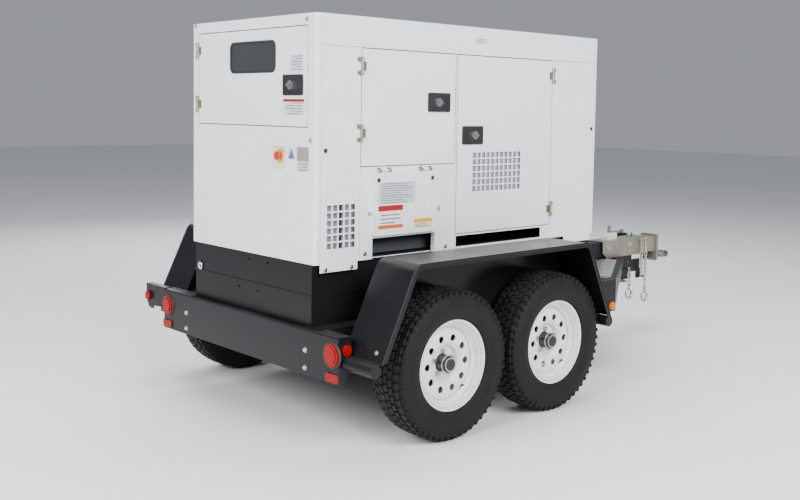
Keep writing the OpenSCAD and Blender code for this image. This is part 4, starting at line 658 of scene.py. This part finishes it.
# ---- Hinges, screws and plugs of the case
# Yellow zinc fixings. Bright screws with washers, black domed plugs and a bright
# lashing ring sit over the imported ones.
dress(steel("yellow_zinc", (0.46, 0.40, 0.30), 0.36, 60.0, 0.2), "fixings")
rear_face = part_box("rear_skin")[0].x
right_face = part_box("right_skin")[0].y
screws = bmesh.new()
for x, z in ((0.314, 1.007), (0.289, 0.823), (0.759, 1.007), (0.811, 0.815), (0.060, 0.770), (0.210, 0.770)):
    add_bolt(screws, (rear_face + x, right_face, z), (0, -1, 0), 0.0115, (0.0088, 0.0044, 0.0008))
for y, z in ((0.480, 1.891), (-0.451, 1.877), (0.504, 1.356), (-0.482, 1.346)):
    add_bolt(screws, (rear_face, y, z), (-1, 0, 0), 0.0115, (0.0088, 0.0044, 0.0008))
finish_piece(screws, "case_screws", bright_bolt, "trailer")
plugs = bmesh.new()
for side in (-1, 1):
    for x, z in ((0.054, 1.301), (1.969, 1.393)):
        add_disc(plugs, (rear_face + x, -side * right_face, z), (0, side, 0), 0.0105, 0.0042, 0.002, 32)
add_disc(plugs, (rear_face + 0.018, -right_face, 1.665), (0, 1, 0), 0.0105, 0.0075, 0.002, 32)
finish_piece(plugs, "case_plugs", rubber, "trailer")
cover_plugs = bmesh.new()
for x in (0.358, 0.703):
    add_disc(cover_plugs, (rear_face + x, right_face - 0.0123, 1.160), (0, -1, 0), 0.0105, 0.0042, 0.002, 32)
finish_piece(cover_plugs, "cover_plugs", rubber, "terminal_cover")

ring = bmesh.new()
add_ring(ring, (rear_face, 0.441, 0.675), (-1, 0, 0),
         ((0.0084, -0.0015), (0.0084, 0.0020), (0.0100, 0.0036), (0.0185, 0.0036), (0.0207, 0.0020), (0.0207, -0.0015)))
finish_piece(ring, "lashing_ring", steel("bright_chrome", (0.80, 0.80, 0.80), 0.12), "trailer")

# ---- Grilles
# The sound traps behind the square holes are white sheet. Here they are painted mid grey as painted shade for the
# recess behind the holes, so the grilles read as a pale grey grid. They are folded plates a finger's width behind each
# skin.
trap_painted_shade = enamel("sound_trap_painted_shade", (0.30, 0.31, 0.33), (0.16, 0.16, 0.16), 0.5, 0.2)
for name, body, x0, x1, z0, z1, side in (("right_rear", "trailer", 0.052, 0.246, 0.836, 1.070, -1),
                                         ("right_front", "door_right_front", 0.985, 1.376, 1.060, 1.285, -1),
                                         ("left_front", "door_left_front", 0.985, 1.376, 1.060, 1.285, 1)):
    trap = bmesh.new()
    face = -side * right_face
    depth = 0.0110 if body != "trailer" else 0.022
    near, far = sorted((face - side * (depth + 0.0015), face - side * depth))
    add_block(trap, (rear_face + x0, near, z0), (rear_face + x1, far, z1), 0)
    for z in (z0, z1 - 0.0015):
        near, far = sorted((face - side * (depth + 0.0015), face - side * 0.0035))
        add_block(trap, (rear_face + x0, near, z), (rear_face + x1, far, z + 0.0015), 0)
    finish_piece(trap, "sound_trap_" + name, trap_painted_shade, body)

# ---- Latches
# Chromed quarter-turn knobs. Each latch plate is black plastic with a raised border.
chrome = steel("knob_chrome", (0.83, 0.83, 0.84), 0.10, 15.0, 0.04, depth=0.00001)
dress(chrome, "latch_control", "latch_right_rear", "latch_right_front", "latch_left_rear", "latch_left_front")
latch_black = moulded("latch_plastic", (0.014, 0.014, 0.015), 0.42)


def plate_shell(mesh, low, high, axis, corner, hole_centre, hole_radius):
    # A rectangular plate with round corners, a raised border and a round hole, built as a lofted ring.
    u, v = [i for i in range(3) if i != abs(axis) - 1]
    w = abs(axis) - 1
    front = low[w] if axis < 0 else high[w]
    back = high[w] if axis < 0 else low[w]
    out = -1 if axis < 0 else 1

    def outline(shrink, level):
        points = []
        centre_u, centre_v = (low[u] + high[u]) / 2, (low[v] + high[v]) / 2
        half_u, half_v = (high[u] - low[u]) / 2 - shrink, (high[v] - low[v]) / 2 - shrink
        r = max(corner - shrink, 0.001)
        for quarter in range(4):
            cu = centre_u + (half_u - r) * (1 if quarter in (0, 3) else -1)
            cv = centre_v + (half_v - r) * (1 if quarter in (0, 1) else -1)
            for k in range(9):
                a = quarter * math.pi / 2 + k * math.pi / 16
                point = [0, 0, 0]
                point[u], point[v], point[w] = cu + r * math.cos(a), cv + r * math.sin(a), level
                points.append(mesh.verts.new(point))
        return points

    def circle(radius, level):
        points = []
        for ring_point in rings[0]:
            a = math.atan2(ring_point.co[v] - hole_centre[1], ring_point.co[u] - hole_centre[0])
            point = [0, 0, 0]
            point[u], point[v], point[w] = (hole_centre[0] + radius * math.cos(a),
                                            hole_centre[1] + radius * math.sin(a), level)
            points.append(mesh.verts.new(point))
        return points

    rings = [outline(0.0, back), outline(0.0, front - out * 0.0010), outline(0.0012, front), outline(0.0052, front),
             outline(0.0064, front - out * 0.0016)]
    rings.append(circle(hole_radius, front - out * 0.0016))
    rings.append(circle(hole_radius, back))
    join_loops(mesh, zip(rings, rings[1:] + rings[:1]))
    bmesh.ops.recalc_face_normals(mesh, faces=mesh.faces)


for name, body, x, z, side in (("right_rear", "door_right_rear", 0.750, 1.524, -1),
                               ("right_front", "door_right_front", 0.990, 1.363, -1),
                               ("left_rear", "door_left_rear", 0.750, 1.524, 1),
                               ("left_front", "door_left_front", 0.990, 1.363, 1)):
    shell = bmesh.new()
    low = [rear_face + x - 0.0746, min(-side * right_face, -side * right_face + side * 0.0072), z - 0.0461]
    high = [rear_face + x + 0.0746, max(-side * right_face, -side * right_face + side * 0.0072), z + 0.0461]
    shift = -0.009 if name.endswith("rear") else 0.009
    plate_shell(shell, low, high, side * 2, 0.0086, (rear_face + x + shift, z), 0.0218)
    finish_piece(shell, "latch_plate_" + name, latch_black, body)
shell = bmesh.new()
plate_shell(shell, [rear_face - 0.0072, -0.4246, 1.5435], [rear_face, -0.2754, 1.6365], -1, 0.0086,
            (-0.341, 1.590), 0.0218)
finish_piece(shell, "latch_plate_control", latch_black, "control_door")

# ---- Window and control panel
# Smoked pane in a rubber gasket. Behind it the panel has a display, dials with bezels and buttons.
material, tree, shader = look("smoked_pane")
cloud = noise(tree, place_of(tree), 6.0, 3)
tree.links.new(blend_colour(tree, cloud, (0.10, 0.11, 0.12), (0.15, 0.16, 0.17)), shader.inputs["Base Color"])
tree.links.new(span(tree, cloud, 0.3, 0.7, 0.04, 0.10), shader.inputs["Roughness"])
shader.inputs["Transmission Weight"].default_value = 0.75
shader.inputs["IOR"].default_value = 1.1
shader.inputs["Coat Weight"].default_value = 0.7
dress(material, "window")
pane_low, pane_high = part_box("window")
seal = bmesh.new()
wide, tall = (pane_high.y - pane_low.y) / 2 - 0.012, (pane_high.z - pane_low.z) / 2 - 0.012
mid_y, mid_z = (pane_high.y + pane_low.y) / 2, (pane_high.z + pane_low.z) / 2
profile = [(0.0045, 0.0002), (0.0045, -0.0018), (0.0028, -0.0032), (-0.0012, -0.0032), (-0.0042, -0.0012),
           (-0.0042, 0.0028), (0.0, 0.0028), (0.0, 0.0002)]
loops = []
for grow, level in profile:
    loop = []
    r = 0.028 + grow
    for quarter in range(4):
        cy = mid_y + (wide - 0.028) * (1 if quarter in (0, 3) else -1)
        cz = mid_z + (tall - 0.028) * (1 if quarter in (0, 1) else -1)
        for k in range(9):
            a = quarter * math.pi / 2 + k * math.pi / 16
            loop.append(seal.verts.new((rear_face + level, cy + r * math.cos(a), cz + r * math.sin(a))))
    loops.append(loop)
join_loops(seal, zip(loops, loops[1:] + loops[:1]))
bmesh.ops.recalc_face_normals(seal, faces=seal.faces)
finish_piece(seal, "window_gasket", rubber, "control_door")

dress(enamel("panel_enamel", (0.055, 0.06, 0.065), dust_tone, 0.42, 0.1), "control_panel")
panel_front = rear_face + 0.110 - 0.022
display = bmesh.new()
add_block(display, (panel_front - 0.003, mid_y - 0.080, mid_z - 0.040), (panel_front, mid_y + 0.080, mid_z + 0.045),
          0.001, 0.006, 0)
finish_piece(display, "panel_display", moulded("display_glass", (0.05, 0.075, 0.07), 0.08, coat=1.0), "trailer")
dial_face, tree, shader = look("dial_face")
local = place_of(tree)
ticks = add(tree, "TexWave", {"wave_type": "RINGS"}, Vector=local, Scale=40.0)
tree.links.new(blend_colour(tree, span(tree, ticks.outputs["Fac"], 0.6, 0.9, 0.0, 0.5), (0.78, 0.78, 0.75),
                            (0.3, 0.3, 0.3)), shader.inputs["Base Color"])
shader.inputs["Roughness"].default_value = 0.3
dials, bezels = bmesh.new(), bmesh.new()
for i in range(3):
    centre = Vector((rear_face + 0.101, -0.210 - i * 0.070, 1.550))
    add_disc(dials, centre, (-1, 0, 0), 0.022, 0.0008, 0)
    add_ring(bezels, centre, (-1, 0, 0),
             ((0.0222, 0.0), (0.0222, 0.003), (0.0245, 0.0042), (0.0266, 0.003), (0.0266, -0.004)))
    needle_end = centre + Vector((-0.0018, 0.015 * math.cos(2.2 + i * 0.3), 0.015 * math.sin(2.2 + i * 0.3)))
    add_disc(bezels, centre + Vector((-0.0008, 0, 0)), (-1, 0, 0), 0.0028, 0.002, 0.0005, 16)
    reach = needle_end - (centre + Vector((-0.0018, 0, 0)))
    add_disc(bezels, centre + Vector((-0.0018, 0, 0)), reach.normalized(), 0.0009, reach.length, 0, 8)
finish_piece(dials, "panel_dials", dial_face, "trailer")
finish_piece(bezels, "panel_bezels", latch_black, "trailer")
button_tones = ((0.55, 0.03, 0.03), (0.03, 0.35, 0.08), (0.70, 0.55, 0.05), (0.08, 0.10, 0.35), (0.6, 0.6, 0.6))
for i, tone in enumerate(button_tones):
    button = bmesh.new()
    centre = Vector((rear_face + 0.096, 0.060 + i * 0.062, 1.540))
    add_disc(button, centre, (-1, 0, 0), 0.0085, 0.007, 0.002, 32)
    finish_piece(button, "panel_button_" + str(i + 1), moulded("button_" + str(i + 1), tone, 0.3, coat=0.5), "trailer")

# ---- Emergency stop
# Red mushroom button on a yellow ring, on a cream plate with rounded corners.
dress(moulded("stop_red", (0.62, 0.015, 0.012), 0.25, coat=0.6), "estop_button")
stop = Vector((rear_face, -0.258, 1.267))
plate_mesh = bmesh.new()
add_block(plate_mesh, stop + Vector((-0.0026, -0.0346, -0.0586)), stop + Vector((0, 0.0616, 0.0396)), 0.0005, 0.004, 0)
finish_piece(plate_mesh, "stop_plate", moulded("stop_plate_cream", (0.72, 0.67, 0.52), 0.35), "trailer")
ring = bmesh.new()
add_ring(ring, stop, (-1, 0, 0),
         ((0.0118, 0.0020), (0.0118, 0.0046), (0.0126, 0.0053), (0.0288, 0.0053), (0.0306, 0.0038), (0.0306, 0.0020)))
finish_piece(ring, "stop_ring", moulded("stop_yellow", (0.86, 0.58, 0.02), 0.3, coat=0.4), "trailer")

# ---- Labels
# Thin plates with plain colour bands and grey bars where the machine carries its notices. They hold
# no words, marks or numbers.


def label(name, body, low, high, ground, header, share, rows, bar=(0.16, 0.16, 0.17), foot=None, symbol=None):
    low, high = Vector(low), Vector(high)
    thin = 0 if high.x - low.x < high.y - low.y else 1
    wide = 1 - thin
    stretch, shift = [1, 1, 1], [0, 0, 0]
    for axis in (wide, 2):
        stretch[axis] = 1 / (high[axis] - low[axis])
        shift[axis] = -low[axis] * stretch[axis]
    material, tree, shader = look("print_" + name)
    parts = add(tree, "SeparateXYZ", Vector=place_of(tree, stretch, (0, 0, 0), shift))
    u, v = parts.outputs["XY"[wide]], parts.outputs["Z"]
    line = product(tree, v, float(rows))
    chance = add(tree, "TexWhiteNoise", {"noise_dimensions": "1D"}, W=sum_of(tree, "FLOOR", line)).outputs["Value"]
    part = sum_of(tree, "FRACT", line)
    ink = product(tree, sum_of(tree, "GREATER_THAN", part, 0.34), sum_of(tree, "LESS_THAN", part, 0.68))
    ink = product(tree, ink, sum_of(tree, "GREATER_THAN", u, 0.09))
    ink = product(tree, ink, sum_of(tree, "LESS_THAN", u, span(tree, chance, 0.0, 1.0, 0.62, 0.93)))
    ink = product(tree, ink, sum_of(tree, "LESS_THAN", v, 0.97 - share))
    tone = blend_colour(tree, ink, ground, bar)
    if symbol:
        side = sum_of(tree, "ABSOLUTE", sum_of(tree, "SUBTRACT", u, 0.5))
        cone = sum_of(tree, "LESS_THAN", sum_of(tree, "ADD", product(tree, side, 1.9), v), 0.92)
        cone = product(tree, cone, sum_of(tree, "GREATER_THAN", v, 0.14))
        tone = blend_colour(tree, cone, ground, symbol)
    if share:
        tone = blend_colour(tree, sum_of(tree, "GREATER_THAN", v, 1 - share), tone, header)
    if foot:
        tone = blend_colour(tree, sum_of(tree, "LESS_THAN", v, 0.16), tone, foot)
    tree.links.new(tone, shader.inputs["Base Color"])
    scuffs = noise(tree, place_of(tree), 30.0, 5)
    tree.links.new(span(tree, scuffs, 0.3, 0.7, 0.28, 0.45), shader.inputs["Roughness"])
    mesh = bmesh.new()
    add_block(mesh, low, high, 0.0001, 0.003, thin, 1)
    finish_piece(mesh, name, material, body)


paper = (0.80, 0.80, 0.78)
lift = right_face - 0.0123
for name, body, x0, x1, z0, z1, face, ground, header, share, rows, foot in (
        ("chart_label", "terminal_cover", 0.358, 0.590, 1.047, 1.147, lift, (0.50, 0.53, 0.57), (0.5, 0.5, 0.5),
         0.0, 9, None),
        ("hazard_label", "terminal_cover", 0.358, 0.513, 0.931, 1.040, lift, paper, (0.33, 0.006, 0.006), 0.24, 6,
         (0.62, 0.13, 0.01)),
        ("caution_label", "terminal_cover", 0.585, 0.704, 0.923, 0.966, lift, (0.70, 0.64, 0.42), (0.70, 0.36, 0.01),
         0.42, 4, None),
        ("band_label", "trailer", 1.000, 1.085, 1.822, 1.850, right_face, (0.62, 0.64, 0.68), (0.5, 0.5, 0.5), 0.0, 3,
         None)):
    label(name, body, (rear_face + x0, face - 0.0004, z0), (rear_face + x1, face, z1), ground, header, share, rows,
          foot=foot)
for name, body, y0, y1, z0, z1, ground, header, share, rows, symbol in (
        ("door_notice", "control_door", -0.421, -0.323, 1.652, 1.723, (0.60, 0.61, 0.66), (0.4, 0.4, 0.4),
         0.0, 6, None),
        ("door_warning", "control_door", -0.432, -0.273, 1.455, 1.527, (0.66, 0.66, 0.68), (0.33, 0.006, 0.006),
         0.17, 6, None),
        ("sign_label", "trailer", -0.369, -0.310, 1.250, 1.312, (0.66, 0.68, 0.72), (0.4, 0.4, 0.4), 0.0, 4,
         (0.08, 0.12, 0.25)),
        ("rating_label", "trailer", -0.468, -0.380, 1.205, 1.314, (0.55, 0.56, 0.58), (0.26, 0.25, 0.24),
         0.58, 8, None)):
    label(name, body, (rear_face - 0.0004, y0, z0), (rear_face, y1, z1), ground, header, share, rows, symbol=symbol)

# ---- Door linings
# Quilted grey sound foam inside each door, stopped short of the latch, the grille and the folded edge.
foam = moulded("sound_foam", (0.045, 0.045, 0.048), 0.9, 220.0, 0.0012)
for name, x0, x1, z0, z1, latch_x, latch_z, side, grille in (
        ("right_rear", 0.256, 0.868, 1.222, 1.765, 0.741, 1.524, -1, False),
        ("right_front", 0.878, 1.615, 0.868, 1.765, 0.999, 1.363, -1, True),
        ("left_rear", 0.256, 0.868, 0.868, 1.765, 0.741, 1.524, 1, False),
        ("left_front", 0.878, 1.615, 0.868, 1.765, 0.999, 1.363, 1, True)):
    quilt = bmesh.new()
    face = -side * right_face
    count_x, count_z = round((x1 - x0 - 0.052) / 0.068), round((z1 - z0 - 0.052) / 0.068)
    step_x, step_z = (x1 - x0 - 0.052) / count_x, (z1 - z0 - 0.052) / count_z
    near, far = sorted((face - side * 0.0035, face - side * 0.0125))
    for i in range(count_x):
        for j in range(count_z):
            px, pz = x0 + 0.026 + i * step_x, z0 + 0.026 + j * step_z
            mid_gap_x, mid_gap_z = abs(px + step_x / 2 - latch_x), abs(pz + step_z / 2 - latch_z)
            if mid_gap_x < step_x / 2 + 0.012 and mid_gap_z < step_z / 2 + 0.012:
                continue
            if grille and px < 1.380 and px + step_x > 0.982 and pz < 1.288 and pz + step_z > 1.057:
                continue
            add_block(quilt, (rear_face + px + 0.0006, near, pz + 0.0006),
                      (rear_face + px + step_x - 0.0006, far, pz + step_z - 0.0006), 0.004, segments=2)
    finish_piece(quilt, "door_foam_" + name, foam, "door_" + name, 60)

# ---- Engine room
# Painted castings, a dark alternator, a radiator core with its frame, a pale moulded fan, a heat-tinted
# silencer and a battery with two terminals.
dress(enamel("engine_enamel", (0.20, 0.23, 0.22), (0.10, 0.095, 0.085), 0.42, 0.45), "engine")
dress(enamel("alternator_enamel", (0.035, 0.04, 0.048), dust_tone, 0.45, 0.4), "alternator")
dress(moulded("fan_plastic", (0.62, 0.61, 0.56), 0.45), "fan")
core, tree, shader = look("radiator_core")
place = place_of(tree)
fins = add(tree, "TexWave", {"bands_direction": "Z"}, Vector=place, Scale=110.0)
tubes = add(tree, "TexWave", {"bands_direction": "Y"}, Vector=place, Scale=32.0)
height = sum_of(tree, "ADD", fins.outputs["Fac"], product(tree, tubes.outputs["Fac"], 1.5))
tree.links.new(blend_colour(tree, span(tree, height, 0.3, 2.0), (0.008, 0.008, 0.009), (0.05, 0.05, 0.052)),
               shader.inputs["Base Color"])
shader.inputs["Roughness"].default_value = 0.5
bump(tree, shader, height, 0.002, 0.7)
dress(core, "radiator")
heat, tree, shader = look("silencer_steel")
place = place_of(tree)
cloud = noise(tree, place, 14.0, 6)
rust = noise(tree, place, 45.0, 6, 0.7)
tone = blend_colour(tree, span(tree, cloud, 0.35, 0.7), (0.30, 0.27, 0.24), (0.20, 0.19, 0.20))
tone = blend_colour(tree, span(tree, rust, 0.52, 0.72), tone, (0.17, 0.075, 0.03))
tree.links.new(tone, shader.inputs["Base Color"])
tree.links.new(span(tree, rust, 0.4, 0.7, 0.9, 0.3), shader.inputs["Metallic"])
tree.links.new(span(tree, rust, 0.3, 0.7, 0.4, 0.75), shader.inputs["Roughness"])
bump(tree, shader, rust, 0.0004)
dress(heat, "muffler")
dress(moulded("battery_case", (0.02, 0.02, 0.022), 0.4), "battery")
battery_low, battery_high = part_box("battery")
posts = bmesh.new()
for share in (0.2, 0.8):
    post_x = battery_low.x + (battery_high.x - battery_low.x) * share
    foot = Vector((post_x, battery_low.y + 0.035, battery_high.z - 0.0005))
    add_disc(posts, foot, (0, 0, 1), 0.0105, 0.016, 0.0012, 24, 0.0085)
finish_piece(posts, "battery_posts", steel("lead_posts", (0.35, 0.35, 0.36), 0.45), "trailer")
